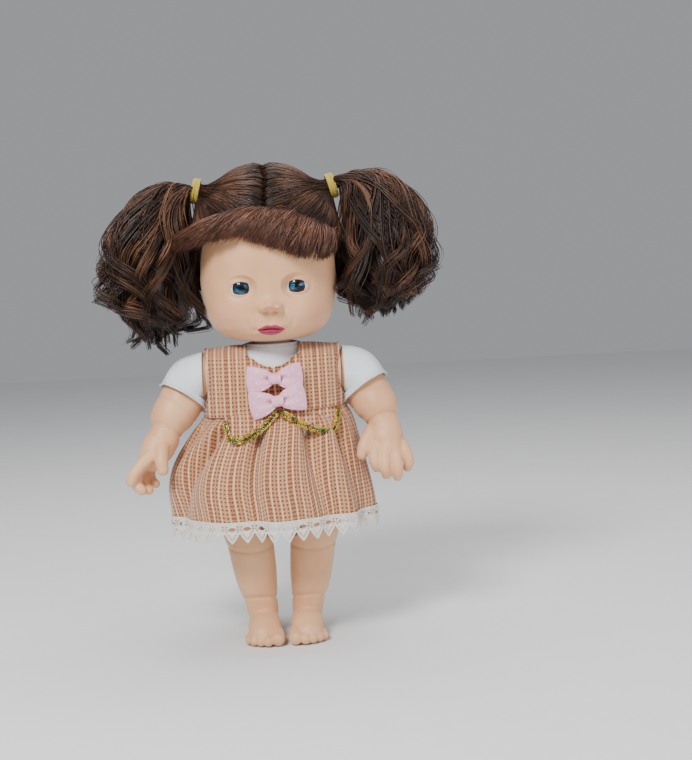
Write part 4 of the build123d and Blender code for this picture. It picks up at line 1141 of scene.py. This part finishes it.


# each repeat is drawn flat, as threads in (run, drop), and then wrapped round the skirt's hem: three rows
# of zigzag chain, a doubled oval, small rings between the ovals, a wavy chain, and a pointed fan with spokes
# and arcs
def buildLace():
    theta = np.linspace(-math.pi, math.pi, 1201)
    rim = skirtPoints(theta, 1.0 + 0 * theta, 0.15)
    run = np.concatenate([[0], np.cumsum(np.linalg.norm(np.diff(rim[:, :2], axis=0), axis=1))])
    total = run[-1]
    count = int(round(total / lace["repeat"]))
    pitch = total / count
    shift = rim[:, 0].mean()
    away = unit(rim[:, :2] - (shift, 0))

    def wrap(flat):
        u = np.mod(flat[:, 0], total)
        x, y = np.interp(u, run, rim[:, 0]), np.interp(u, run, rim[:, 1])
        nx, ny = np.interp(u, run, away[:, 0]), np.interp(u, run, away[:, 1])
        out = 0.5 + 0.02 * flat[:, 1] + flat[:, 2]
        return np.stack([x + nx * out, y + ny * out, np.interp(u, run, rim[:, 2]) + 1.6 - flat[:, 1]], -1)

    def oval(middle, drop, wide, high, points=15):
        turn = np.linspace(0, 2 * math.pi, points)
        return np.stack([middle + wide * np.sin(turn), drop + high * np.cos(turn), 0 * turn], -1)

    thin = lace["thread"]
    halves = {1: [], -1: []}
    for k in range(count):
        start = k * pitch
        mid = start + pitch / 2
        threads = []
        along = np.linspace(start, start + pitch, 15)
        for row, drop in enumerate((0.3, 1.0, 1.7)):
            zigzag = 0.26 * np.sin((along - start) / pitch * 14 * math.pi + row * math.pi)
            threads.append((np.stack([along, drop + zigzag, 0.12 * np.cos(along * 5)], -1), thin + 0.05))
        a, b = lace["ovalHalf"]
        drop = lace["ovalDrop"]
        threads += [(oval(mid, drop, a, b), thin), (oval(mid, drop, a + 0.62, b + 0.58), thin)]
        threads += [(oval(start, drop - 0.9, 0.55, 0.6, 9), thin),
            (oval(start, drop + 1.1, 0.6, 0.6, 9), thin)]
        wave = lace["fanTop"] + 0.35 * np.cos((along - start) / pitch * 2 * math.pi)
        threads.append((np.stack([along, wave, 0 * along], -1), thin + 0.04))
        f = np.linspace(-1, 1, 15)
        for share, thick in ((1.0, 0.42), (0.86, 0.30), (0.48, 0.30)):
            reach = lace["fanTop"] + (lace["tip"] - lace["fanTop"]) * share
            edge = (lace["fanTop"] + (reach - lace["fanTop"]) * (1 - np.abs(f) ** 1.12)
                    + 0.5 * share * (1 - np.abs(f) ** 6))
            threads.append((np.stack([mid + f * pitch * (0.10 + 0.39 * share), edge - 0.35, 0 * f], -1),
                thick))
        for spoke in np.linspace(-0.78, 0.78, 7):
            far = lace["fanTop"] + (lace["tip"] - lace["fanTop"]) * (1 - abs(spoke) ** 1.12)
            ends = np.array([[mid + spoke * 1.2, drop + b + 0.5, 0.1],
                [mid + spoke * pitch * 0.49, far, 0.0]])
            threads.append((ends, 0.30))
        threads.append((oval(mid, lace["tip"] - 0.7, 0.5, 0.6, 9), 0.34))
        place = wrap(np.array([[mid, 0, 0]]))[0]
        for path, thick in threads:
            halves[1 if place[0] > shift else -1].append(tubeArrays(wrap(path), thick, 5,
                towards=(0.0, 0.3, 1.0)))
    for side, pieces in halves.items():
        name = "left" if side > 0 else "right"
        points, corners = joinArrays(pieces)
        made = turnOut(makeMesh(name + "_hem_lace", points, corners))
        co = np.empty(len(made.data.vertices) * 3)
        made.data.vertices.foreach_get("co", co)
        applyBlend(made, name)
        nodes = ("hem_lace",) if side > 0 else ()
        finishPiece(made, cotton, None, "lace", *nodes)


buildLace()
print("lace made")

# flaps and gold braid

flaps = {"left": {"near": 3.5, "far": 37.5, "low": 128.4}, "right": {"near": 0.5, "far": -29.5, "low": 125.8}}
braid = {"step": 1.25, "wide": 1.75}


def skirtFront(x, z, grow):  # point of the skirt's front at a given x and z, found by a few corrections
    t = np.clip((skirt["top"] - z) / (skirt["top"] - skirt["hem"]), 0, 1)
    theta = x / 42.0
    for _ in range(12):
        p = smoothSkirt(theta, t, grow)
        theta = theta + (x - p[..., 0]) / 46.0
    p = smoothSkirt(theta, t, grow)
    return np.stack([p[..., 0], p[..., 1], z + 0 * x], -1)


def smoothSkirt(theta, t, grow):  # the skirt without its pleats
    half, front, back, shift = skirtLevel(t)
    return np.stack([(half + grow) * np.sin(theta) + shift, -(front + grow) * np.cos(theta), 0 * theta], -1)


def flapEdge(facts, s):  # lower edge, s from the near end to the far one: it sinks slowly and rises steeply
    x = facts["near"] + (facts["far"] - facts["near"]) * s
    seam = skirt["top"] + 0.9 + waistLine(x)
    drop = smoothCurve([0, 0.25, 0.55, 0.78, 0.93, 1.0], [0.05, 0.52, 0.88, 1.0, 0.80, 0.24], s)
    return x, seam, seam - (seam - facts["low"]) * drop


def buildFlap(name, facts, seed):
    random = np.random.default_rng(seed)
    s = np.linspace(0, 1, 90)
    t = np.linspace(0, 1, 30)
    x, seam, low = flapEdge(facts, s)
    zz = seam[:, None] + (low - seam)[:, None] * t[None, :]
    xx = x[:, None] + 0 * zz
    lift = 1.3 + 1.6 * t[None, :] + 0.25 * np.sin(xx * 0.5) * t[None, :]
    points = skirtFront(xx, zz, lift)
    uv = np.stack([xx * 1.02, zz], -1)
    made = gridPiece(name + "_waist_flap", points, (0, 0, 130), uv=uv)
    thicken(made, 0.5)
    finishPiece(made, check, "torso", "check_cloth", name + "_flap")
    # braid: two rows of small film loops, each a flattened ring twisted by chance
    path = points[:, -1] + (0, -0.5, 0)
    length = np.concatenate([[0], np.cumsum(np.linalg.norm(np.diff(path, axis=0), axis=1))])
    count = int(length[-1] / braid["step"])
    loops, tones = [], []
    turn = np.linspace(0, 2 * math.pi, 9)[:-1]
    for k in range(count):
        where = np.array([np.interp((k + 0.5) / count * length[-1], length, path[:, c]) for c in range(3)])
        ahead = np.array([np.interp(min((k + 1.5) / count, 1) * length[-1], length,
            path[:, c]) for c in range(3)])
        along = unit(ahead - where + 1e-6)
        out = unit(np.array([where[0] * 0.4, -30.0, 0]))
        across = np.cross(along, out)
        for row in (-1, 1):
            lean = random.normal(0, 0.35) + 0.5 * row
            a = along * math.cos(lean) + across * math.sin(lean)
            b = -along * math.sin(lean) + across * math.cos(lean)
            centre = where + across * row * braid["wide"] * 0.62 + out * random.uniform(0.1, 0.6)
            big, small = random.uniform(1.0, 1.35), random.uniform(0.5, 0.75)
            ring = centre + big * np.cos(turn)[:, None] * a + small * np.sin(turn)[:, None] * b
            ring += out * (0.30 * np.sin(turn * 2 + random.uniform(0, 6)))[:, None]
            ring = np.concatenate([ring, ring[:1]])
            threadPoints, threadCorners = tubeArrays(ring, random.uniform(0.28, 0.42), 5, towards=out)
            loops.append((threadPoints, threadCorners[:1]))
            tones.append(np.full(len(threadPoints), random.uniform(0.08, 1) ** 0.62))
        core = np.stack([where - along * 0.8, where + along * 0.8]) + out * 0.1
        threadPoints, threadCorners = tubeArrays(core, 0.85, 6, towards=out)
        loops.append((threadPoints, threadCorners))
        tones.append(np.full(len(threadPoints), random.uniform(0.0, 0.26)))
    points, corners = joinArrays(loops)
    made = makeMesh(name + "_braid", points, corners, values={"tone": np.concatenate(tones)})
    finishPiece(turnOut(made), goldBraid, "torso", "gold_braid", name + "_flap_braid")


for seed, (name, facts) in enumerate(flaps.items()):
    buildFlap(name, facts, 31 + seed)


# waist seam: a narrow piped roll that covers where bodice and skirt join
def buildWaistSeam():
    theta = np.linspace(-math.pi, math.pi, 241)
    rim = skirtPoints(theta, 0.0 * theta, 0.35)
    rim[:, 2] -= 0.2
    points, corners = tubeArrays(rim, 0.55, 8, towards=(0, 0, 1))
    made = turnOut(makeMesh("waist_seam", points, corners[:1]), 0.02)
    finishPiece(made, tanThread, "torso", "check_cloth")


buildWaistSeam()
print("flaps, braid and waist seam made")

# bows

bows = {"upper": {"node": "upper_bow", "half": 15.8, "flare": 8.3, "pinch": 3.1, "tilt": -2.0, "puff": 3.0,
    "middle": (0.6, 159.9)},
        "lower": {"node": "lower_bow", "half": 16.0, "flare": 8.4, "pinch": 3.1, "tilt": -9.0, "puff": 3.2,
        "middle": (1.7, 147.0)}}


# each wing is a flattened loop of ribbon: its height and its puff grow from the knot outwards,
# creases fan out from the knot, and the end edge bows slightly
def wingPoints(facts, side):
    s = np.linspace(0, 1, 46)[:, None]
    turn = np.linspace(0, 2 * math.pi, 73)[None, :]
    high = facts["pinch"] + (facts["flare"] - facts["pinch"]) * np.sin(math.pi / 2 * np.clip(s * 1.1, 0,
        1)) ** 0.75
    puff = 1.0 + facts["puff"] * np.sin(math.pi * np.clip(s * 0.78 + 0.02, 0, 1)) ** 0.7 * (1 - 0.45 * s)
    x = side * (1.6 + (facts["half"] - 1.6) * s * (1 - 0.04 * np.cos(2 * turn) * s))
    z = high * np.cos(turn) * (1 - 0.04 * np.sin(math.pi * s))
    pinch = 2.3 * np.exp(-(z / (1.0 + 1.6 * s)) ** 2) * np.exp(-(s / 0.42) ** 2)
    crease = 0.5 * np.sin(turn * 7 + side) * (1 - s) ** 1.3
    y = (puff * np.abs(np.sin(turn)) ** 0.30 - pinch) * np.sign(np.sin(turn)) + crease * 0.6
    x, y, z = np.broadcast_arrays(x, y, z)
    uv = np.stack([side * (facts["half"] * s + 0 * turn) + 3.0, z * 0.95], -1)
    return np.stack([x, y, z], -1), uv


def buildBow(name, facts):
    low, high = spot(facts["node"])
    tilt = math.radians(facts["tilt"])
    centre = np.array([facts["middle"][0], (low[1] + high[1]) / 2 - 0.3, facts["middle"][1]])

    def place(points):
        x = points[..., 0] * math.cos(tilt) + points[..., 2] * math.sin(tilt)
        z = -points[..., 0] * math.sin(tilt) + points[..., 2] * math.cos(tilt)
        bend = 0.010 * points[..., 0] ** 2  # the wings lean back round the chest
        return np.stack([x, points[..., 1] + bend, z], -1) + centre

    parts = []
    for side in (1, -1):
        points, uv = wingPoints(facts, side)
        made = gridPiece(f"{name}_wing_{side + 1}", place(points), centre + (side * 8, 0, 0), uv=uv)
        turnOut(made, 0.02)
        parts.append(made)
    # knot: a short band wrapped round the middle, crowned in front
    s = np.linspace(-1, 1, 20)[:, None]
    turn = np.linspace(0, 2 * math.pi, 41)[None, :]
    x = 3.6 * s + 0 * turn
    flat = np.sign(np.cos(turn)) * np.abs(np.cos(turn)) ** 0.7
    z = (3.2 + 0.12 * s ** 2) * flat + 0.08 * np.sin(9 * s)
    y = (3.7 - 0.35 * s ** 4 + 0.14 * np.sin(7 * s + 1)) * np.sin(turn)
    knot = np.stack(np.broadcast_arrays(x, y, z), -1)
    parts.append(turnOut(gridPiece(name + "_knot", place(knot), centre,
        uv=np.stack([x + 0.9 + 0 * z, z + 1.0], -1)), 0.02))
    made = joinObjects(name + "_ribbon_bow", parts)
    area = sum(p.area for p in made.data.polygons)
    thicken(made, 0.3)
    finishPiece(made, ribbon, "torso", "pink_ribbon", facts["node"])


for name, facts in bows.items():
    buildBow(name, facts)
print("bows made")

# hair

scalp = {"centre": (0.0, 1.5, 231.0), "half": 44.6, "front": 42.6, "back": 45.6, "up": 54.2, "down": 45.0,
         "band": (40.6, 3.0, 271.5), "bandLean": 0.24, "bandR": 6.6}


def onScalp(direction, lift=0.0):  # where a direction from the middle of the head leaves the hair shell
    d = unit(direction)
    ay = np.where(d[..., 1] < 0, scalp["front"], scalp["back"]) + lift
    az = np.where(d[..., 2] < 0, scalp["down"], scalp["up"]) + lift
    size = 1 / np.sqrt((d[..., 0] / (scalp["half"] + lift)) ** 2 + (d[..., 1] / ay) ** 2 + (d[...,
        2] / az) ** 2)
    return np.array(scalp["centre"]) + d * size[..., None]


# many strands at once: paths is (strands, points, 3); each is a three-sided tapered tube with closed ends
def strandPiece(name, paths, width, tone, material, body, slotName, *nodes, outward=None):
    m, n = paths.shape[:2]
    along = unit(np.gradient(paths, axis=1))
    ref = np.broadcast_to(outward if outward is not None else unit(paths - np.array(scalp["centre"])),
        paths.shape)
    side = unit(np.cross(along, ref))
    over = np.cross(side, along)
    turn = np.array([math.radians(90), math.radians(210), math.radians(330)])
    taper = np.broadcast_to(width, (m, n))
    ring = np.cos(turn)[None, None, :, None] * side[:, :, None] + 0.62 * np.sin(turn)[None, None, :,
        None] * over[:, :, None]
    points = paths[:, :, None] + taper[:, :, None, None] * ring
    i = np.arange(m)[:, None, None] * n * 3
    j = np.arange(n - 1)[None, :, None] * 3
    k = np.arange(3)[None, None, :]
    k2 = (k + 1) % 3
    quads = np.stack([i + j + k, i + j + k2, i + j + 3 + k2, i + j + 3 + k], -1).reshape(-1, 4)
    caps = np.arange(m)[:, None] * n * 3
    ends = np.concatenate([caps + np.array([2, 1, 0]), caps + (n - 1) * 3 + np.array([0, 1, 2])])
    values = np.repeat(np.broadcast_to(tone, (m, n)).ravel(), 3)
    made = makeMesh(name, points, [quads, ends], values={"tone": values})
    # one strand tells which way round all the faces are
    a, b, c = points[0, 0, 0], points[0, 0, 1], points[0, 1, 1]
    if np.dot(np.cross(b - a, c - a), (a + b) / 2 - paths[0, 0]) < 0:
        made.data.flip_normals()
    return finishPiece(made, material, body, slotName, *nodes)


# dark base under the strands, its dark tone painted shade deep among the hair: a grid on the hair shell, open
# over the face
def buildScalpBase():
    theta = np.linspace(-math.pi, math.pi, 161)[:-1]
    up = np.linspace(0, 1, 60)
    tt, uu = np.meshgrid(theta, up, indexing="ij")
    # lowest latitude of the hairline: high over the forehead, low at the nape
    front = smoothStep(0.12, 0.50, np.cos(tt))
    lowest = -0.72 + 0.98 * front
    lat = lowest + (math.pi / 2 - lowest) * uu
    d = np.stack([np.cos(lat) * np.sin(tt), -np.cos(lat) * np.cos(tt), np.sin(lat)], -1)
    points = onScalp(d, -1.8 - 1.6 * smoothStep(0.12, 0.0, uu))
    made = gridPiece("hair_base", points, scalp["centre"], closeU=True, values={"tone": 0.12 + 0 * uu})
    turnOut(made, 0.05)
    thicken(made, 1.0)
    return finishPiece(made, hair, "head", "hair", "hair_cap")


# combed hair: each strand runs over the shell from the parting or the hairline to the band. Its direction
# turns evenly from one to the other, and its last part leaves the shell and gathers inside the band
def buildCombedHair():
    random = np.random.default_rng(11)
    n = 15
    for side, name in ((1, "left"), (-1, "right")):
        band = np.array(scalp["band"]) * (side, 1, 1)
        m = 3000
        # parting: from the top of the forehead over the crown to the nape
        fromPart = random.random(m) < 0.60
        angle = random.uniform(-0.99, 2.35, m)
        wobble = 0.016 * np.sin(angle * 9)
        stray = np.abs(random.normal(0, 0.025, m))
        partStart = np.stack([side * (stray - 0.012) + wobble, np.sin(angle), np.cos(angle)], -1)
        azimuth = random.uniform(-1.50, 1.60, m)  # hairline: from the middle of the front round to the nape
        low = smoothCurve([-1.55, -1.1, -0.75, -0.45, -0.15, 0.3, 0.9, 1.6],
                          [0.62, 0.54, 0.40, 0.20, -0.20, -0.62, -0.82, -0.86], azimuth)
        edgeStart = np.stack([side * np.cos(low) * np.cos(azimuth), np.cos(low) * np.sin(azimuth),
            np.sin(low)], -1)
        start = unit(np.where(fromPart[:, None], partStart, edgeStart))
        t = np.linspace(0, 1, n)
        curve = t[None, :, None]
        end = unit(band - scalp["centre"])
        d = start[:, None] * (1 - curve) + end * curve
        bow = np.sin(math.pi * t)[None, :, None] * random.normal(0, 0.020, (m, 1, 3))
        sag = 0.10 * np.sin(math.pi * t)[None, :] * np.where(fromPart, 1.0, 0.0)[:, None]
        bow = bow + np.stack([0 * sag, -sag * np.cos(angle)[:, None], -sag], -1) * (angle < 0.6)[:, None,
            None]
        lift = random.uniform(-1.2, 1.2, (m, 1)) - 1.7 * (1 - smoothStep(0.0, 0.14, t))[None, :]
        lift = lift + 1.2 * np.sin(math.pi * t)[None, :]
        paths = onScalp(d + bow, lift)
        ring = random.uniform(0, 2 * math.pi, m)
        inBand = scalp["bandR"] * 0.95 * np.sqrt(random.random(m))
        bandSpot = np.stack([-side * 0.24 * inBand * np.sin(ring), inBand * np.cos(ring),
            inBand * np.sin(ring)], -1)
        gather = smoothStep(0.50, 0.97, t)[None, :, None] ** 1.3
        paths = paths * (1 - gather) + (band + bandSpot)[:, None] * gather
        lock = np.floor(np.where(fromPart, angle * 11, 60 + azimuth * 12))
        lockTone = (np.sin(lock * 12.9898) * 43758.5453) % 1
        # painted highlight: a lighter band about a third of the way along every strand
        shine = 0.26 * bump(t, 0.36, 0.22)[None, :]
        tone = 0.24 + 0.24 * lockTone[:, None] + random.normal(0, 0.10, (m, 1)) + shine
        width = random.uniform(0.24, 0.44, (m, 1)) * (0.55 + 0.45 * np.sin(math.pi * np.clip(t + 0.05, 0,
            1)))[None, :]
        strandPiece(name + "_combed_hair", paths, width, tone, hair, "head", "hair")


fringeKeys = {  # gap line where the fringe leaves the head, and its ragged lower edge: x against height
    "rootX": [-42, -33, -22, -10, 0, 12, 24, 34, 42],
    "rootZ": [247.5, 251.5, 255.5, 258.5, 257.5, 256.5, 252.0, 247.5, 243.5],
    "x": [-55, -46, -38, -28, -16, -4, 6, 14, 22, 30, 37, 42],
    "z": [236.0, 236.5, 238.5, 240.0, 239.5, 237.0, 233.0, 229.5, 227.5, 226.5, 229.5, 235.0],
}


# fringe: strands leave the head at the gap line and are combed down and towards the doll's right, with a
# bulge over the forehead; tufts share a direction, and the tips are ragged
def buildFringe():
    random = np.random.default_rng(23)
    m, n = 4000, 13
    t = np.linspace(0, 1, n)
    u = random.uniform(-1, 1, m)
    rootX = 41.0 * u
    tuft = np.floor((u + 1) * 20 + 0.9 * random.random(m))
    turnOf = (np.sin(tuft * 78.233) * 43758.5453) % 1
    level = random.random(m)  # depth in the hair: 0 next to the face, 1 outside
    sweep = 7.0 + 15.0 * smoothStep(0.9, -0.9, u) + 13.0 * (turnOf - 0.5) + random.normal(0, 2.6, m)
    endX = np.clip(rootX - sweep, -55, 41)
    endX = np.where(u > 0.8, rootX - 1.5 - random.exponential(1.5, m), endX)
    ragged = (random.exponential(1.7, m) + 3.0 * (1 - level) * random.random(m)
              + 3.4 * turnOf * random.random(m))
    endZ = smoothCurve(fringeKeys["x"], fringeKeys["z"],
        endX) + ragged - 1.6 - 2.0 * (random.random(m) > 0.93)
    rootZ = smoothCurve(fringeKeys["rootX"], fringeKeys["rootZ"], rootX) + random.uniform(-2.2, 1.2, m)
    rootY = scalp["centre"][1] - (scalp["front"] - 1.0) * np.sqrt(np.clip(
        1 - (rootX / scalp["half"]) ** 2 - ((rootZ - 231) / scalp["up"]) ** 2, 0.01, 1))
    faceY = -42.4 * np.sqrt(np.clip(1 - (endX / 60.0) ** 2, 0.05, 1)) - 0.4 - 3.6 * level
    root = np.stack([rootX, rootY, rootZ], -1)
    end = np.stack([endX, faceY, endZ], -1)
    # quadratic curve: the middle control point stands out from the forehead
    mid = (root + end) / 2 + np.stack([1.5 + 3.0 * (turnOf - 0.5), -4.6 - 3.2 * level, 3.4 + 1.6 * turnOf],
        -1)
    tt = t[None, :, None]
    paths = root[:, None] * (1 - tt) ** 2 + 2 * mid[:, None] * tt * (1 - tt) + end[:, None] * tt ** 2
    paths += random.normal(0, 0.75, (m, 1, 3)) * np.sin(math.pi * tt)
    swerve = random.normal(0, 1.0, m)[:, None] + np.sin(tuft * 2.4)[:, None]
    paths[..., 0] += 0.9 * np.sin(t[None, :] * 4.5) * swerve * t[None, :]
    # tone: by tuft and by chance, with a painted highlight band near the middle of each strand; strands next
    # to the face are painted darker as shade, and the tips are lighter
    tone = 0.20 + 0.34 * turnOf[:, None] + random.normal(0, 0.12, (m, 1)) + 0.26 * bump(t, 0.45, 0.25)[None,
        :]
    tone = tone - 0.20 * (1 - level)[:, None] + 0.14 * t[None, :]
    width = random.uniform(0.22, 0.42, (m, 1)) * (1.0 - 0.8 * t[None, :] ** 3)
    strandPiece("fringe_hair", paths, width, tone, fringeHair, "head", "hair", "fringe",
        outward=np.array([0.0, -1.0, 0.25]))


pigtail = {
    # centre line from the band: distance outwards, forwards, height; then the reach of the hair round it
    "left": {"line": [(41, 3, 271.5), (50, 2, 276), (60, 1, 273), (67, 0, 260), (70, 0, 242), (70, 0, 224),
    (69, 0, 207), (68, 0, 193)],
             "reach": [5.5, 9.0, 14.0, 22.0, 28.5, 31.0, 30.0, 21.0], "curl": 3.0, "seed": 41, "tip": 0.86},
    "right": {"line": [(41, 3, 271.0), (49, 2, 273.5), (58, 1, 268), (65, 0, 254), (68, 0, 236),
    (68, 0, 217), (68, 0, 198), (70, 0, 180)],
              "reach": [5.5, 8.5, 13.5, 20.5, 27.5, 30.5, 30.0, 23.0], "curl": 4.2, "seed": 43, "tip": 0.70},
}


def clearOfHead(paths):  # slides points out sideways until they are outside the head's own level outline
    keys = np.array(head["levels"])
    z = np.clip(paths[..., 2] - head["bottom"], 0, keys[-1, 0])
    half, front, back = (smoothCurve(keys[:, 0], keys[:, k], z) + 1.6 for k in (1, 2, 3))
    share = np.clip(np.abs(paths[..., 1]) / np.where(paths[..., 1] < 0, front, back), 0, 1)
    edge = half * np.sqrt(1 - share ** 2)
    floor = np.where(paths[..., 1] < 0, 37.5, 30.0)
    limit = np.maximum(edge, np.minimum(floor, 37.5)) * smoothStep(-12, 2, paths[..., 2] - head["bottom"])
    bandSide = smoothStep(262, 256, paths[..., 2])
    paths[..., 0] = np.maximum(paths[..., 0], limit * bandSide)
    return paths


# wavy locks: each lock has its own angle and distance from the pigtail's centre line. It waves on the way
# down and turns into a ringlet near its end, and its strands lie close round it
def buildPigtail(name, side, facts):
    random = np.random.default_rng(facts["seed"])
    line, reach = np.array(facts["line"], float), np.array(facts["reach"], float)
    knots = np.linspace(0, 1, len(line))
    n = 30
    t = np.linspace(0, 1, n)
    for layer, (locks, each) in enumerate(((40, 27), (56, 20))):
        m = locks * each
        lockAngle = random.uniform(0, 2 * math.pi, locks)
        lockOut = (0.25 + 0.45 * random.random(locks)) if layer == 0 else (0.70 + 0.26 * random.random(locks))
        lockEnd = random.uniform(facts["tip"], 1.0, locks)
        phase = random.uniform(0, 2 * math.pi, locks)
        turns = random.uniform(1.9, 3.1, locks)
        wave = facts["curl"] * random.uniform(0.5, 1.3, locks)
        lockTone = random.uniform(0.02, 0.56, locks)
        pick = np.repeat(np.arange(locks), each)
        s = lockEnd[pick][:, None] * t[None, :]
        centre = np.stack([smoothCurve(knots, line[:, k], s) for k in range(3)], -1)
        wide = smoothCurve(knots, reach, s)
        angle = lockAngle[pick][:, None] + 0.7 * np.sin(5.0 * s + phase[pick][:, None])
        tuck = 1 - 0.42 * smoothStep(0.80, 1.0, s)
        out = wide * lockOut[pick][:, None] * tuck
        radial = np.cos(angle)[..., None] * np.array([1.0, 0, 0.25]) + np.sin(angle)[...,
            None] * np.array([0, -1.0, 0.0])
        paths = centre + out[..., None] * radial
        grow = 0.30 * smoothStep(0.08, 0.35, s) + 1.5 * smoothStep(0.42, 0.95, s)
        spin = 2 * math.pi * turns[pick][:, None] * s ** 1.5 + phase[pick][:, None]
        curl = (wave[pick][:, None] * grow)[..., None]
        across = np.cross(radial, [0, 0, 1.0])
        paths = paths + curl * (np.cos(spin)[..., None] * radial + np.sin(spin)[...,
            None] * (0.7 * across + [0, 0, 0.6]))
        spreadOut = 0.8 + 1.0 * smoothStep(0.1, 0.5, s) - 1.0 * smoothStep(0.75, 1.0, s)
        close = random.normal(0, 0.95, (m, 1, 3)) * spreadOut[..., None]
        stray = random.exponential(0.35, (m, 1)) * np.sin(s * 11 + phase[pick][:, None]) * smoothStep(0.2,
            0.9, s)
        paths = paths + close + stray[..., None] * radial
        paths = clearOfHead(paths)
        paths[..., 0] *= side
        # painted highlights: a lighter patch on one side of every turn of a curl and a band near the top; the
        # outer layer is also painted a little lighter, as lit hair
        sheen = 0.24 * bump(np.sin(spin + 0.8), 1, 0.6) + 0.18 * bump(s, 0.30, 0.16)
        tone = lockTone[pick][:, None] + random.normal(0, 0.08, (m, 1)) + sheen + 0.06 * layer
        width = random.uniform(0.26, 0.48, (m, 1)) * (1.0 - 0.65 * t[None, :] ** 4)
        nodes = (name + "_pigtail",) if layer == 0 else ()
        away = unit(paths - centre * (side, 1, 1) + 1e-3)
        strandPiece(f"{name}_pigtail_hair_{layer}", paths, width, tone, hair, "head", "hair", *nodes,
            outward=away)
    # dark core that keeps light from passing through the middle; its near-black tone is painted shade inside
    # the pigtail
    turn = np.linspace(0, 2 * math.pi, 49)[:-1]
    s = np.linspace(0.0, 0.90, 40)
    centre = np.stack([smoothCurve(knots, line[:, k], s) for k in range(3)], -1)
    wide = smoothCurve(knots, reach, s) * 0.60 * np.sqrt(np.clip(1 - ((s - 0.45) / 0.46) ** 8, 0.01, 1))
    lump = 1 + 0.10 * np.sin(turn * 5 + 3)[None, :] * np.sin(s * 23)[:, None]
    core = centre[:, None] + (wide[:, None] * lump)[...,
        None] * (np.cos(turn)[None, :, None] * np.array([1.0, 0, 0.25])
                                                                 + np.sin(turn)[None, :,
                                                                 None] * np.array([0, -1.0, 0]))
    core = clearOfHead(core)
    core[..., 0] *= side
    flat = core.reshape(-1, 3)
    caps = [np.arange(48)[None, :], (len(flat) - 48 + np.arange(48))[None, ::-1]]
    made = makeMesh(name + "_pigtail_core", flat, [gridCorners(40, 48, closeV=True)] + caps,
        values={"tone": np.full(len(flat), 0.02)})
    turnOut(made)
    finishPiece(made, hair, "head", "hair")


# elastic: thin cord wound several times round the root of the pigtail
def buildBand(name, side):
    turn = np.linspace(0, 2 * math.pi * 5, 5 * 40 + 1)
    axis = unit(np.array([side * 0.97, 0.0, scalp["bandLean"]]))
    over = np.array([0.0, 1.0, 0.0])
    up = np.cross(axis, over)
    centre = np.array(scalp["band"]) * (side, 1, 1)
    r = scalp["bandR"] + 0.3 + 0.3 * np.sin(turn * 0.37)
    path = centre + r[:, None] * (np.cos(turn)[:, None] * over + np.sin(turn)[:,
        None] * up) + np.linspace(-2.1, 2.1, len(turn))[:, None] * axis
    points, corners = tubeArrays(path, 0.75 + 0.05 * np.sin(turn * 16), 8, towards=tuple(axis))
    made = turnOut(makeMesh(name + "_elastic", points, corners))
    finishPiece(made, elastic, "head", "band_elastic", name + "_hair_band")


buildScalpBase()
buildCombedHair()
buildFringe()
for name, side in (("left", 1), ("right", -1)):
    buildPigtail(name, side, pigtail[name])
    buildBand(name, side)
print("hair made")

# floor, light and camera

studio = {"floorTone": (0.80, 0.80, 0.80), "eye": (0.0, -738.6, 210.8), "tilt": 85.6376, "roll": -2.7,
    "yaw": -3.3826, "lens": 58.07}


def buildFloor():
    x = np.linspace(-3000, 3000, 41)
    y = np.linspace(-2500, 2500, 41)
    xx, yy = np.meshgrid(x, y, indexing="ij")
    made = gridPiece("floor", np.stack([xx, yy, 0 * xx - 0.02], -1), (0, 0, -1000))
    s = Shade("pale_floor", Specular_IOR_Level=0.2)
    grain = s.noise(30.0)
    s.colour(s.mix(s.spread(grain, 0.3, 0.7), studio["floorTone"],
        tuple(c * 0.97 for c in studio["floorTone"])))
    s.rough(grain, 0.6, 0.7)
    made.data.materials.append(s.material)


def addLight(name, place, aim, size, power, tone=(1.0, 1.0, 1.0)):
    lamp = bpy.data.lights.new(name, "AREA")
    lamp.shape = "RECTANGLE"
    lamp.size, lamp.size_y = size
    lamp.energy = power
    lamp.color = tone
    obj = bpy.data.objects.new(name, lamp)
    obj.location = place
    obj.rotation_euler = (Vector(aim) - Vector(place)).to_track_quat("-Z", "Y").to_euler()
    bpy.context.scene.collection.objects.link(obj)


buildFloor()
addLight("key", (-0.45, -0.95, 1.05), (0, 0, 0.17), (0.42, 0.36), 24.0)
addLight("fill", (0.9, -0.8, 0.5), (0, 0, 0.15), (0.8, 0.8), 5.5, (0.95, 0.97, 1.0))
addLight("top", (0.1, 0.15, 1.2), (0, 0, 0.2), (0.9, 0.7), 8.0)
world = bpy.data.worlds.new("studio")
world.use_nodes = True
world.node_tree.nodes["Background"].inputs[0].default_value = (0.80, 0.82, 0.86, 1)
world.node_tree.nodes["Background"].inputs[1].default_value = 0.42
bpy.context.scene.world = world

lensData = bpy.data.cameras.new("main_view")
lensData.lens = studio["lens"]
lensData.sensor_width = 36.0
camera = bpy.data.objects.new("main_view", lensData)
camera.location = tuple(c * mm for c in studio["eye"])
facing = Euler((0, 0, math.radians(studio["yaw"]))).to_matrix() @ Euler((math.radians(studio["tilt"]), 0,
    0)).to_matrix()
camera.rotation_euler = (facing @ Euler((0, 0, math.radians(studio["roll"]))).to_matrix()).to_euler()
bpy.context.scene.collection.objects.link(camera)
bpy.context.scene.camera = camera
print("stage set")
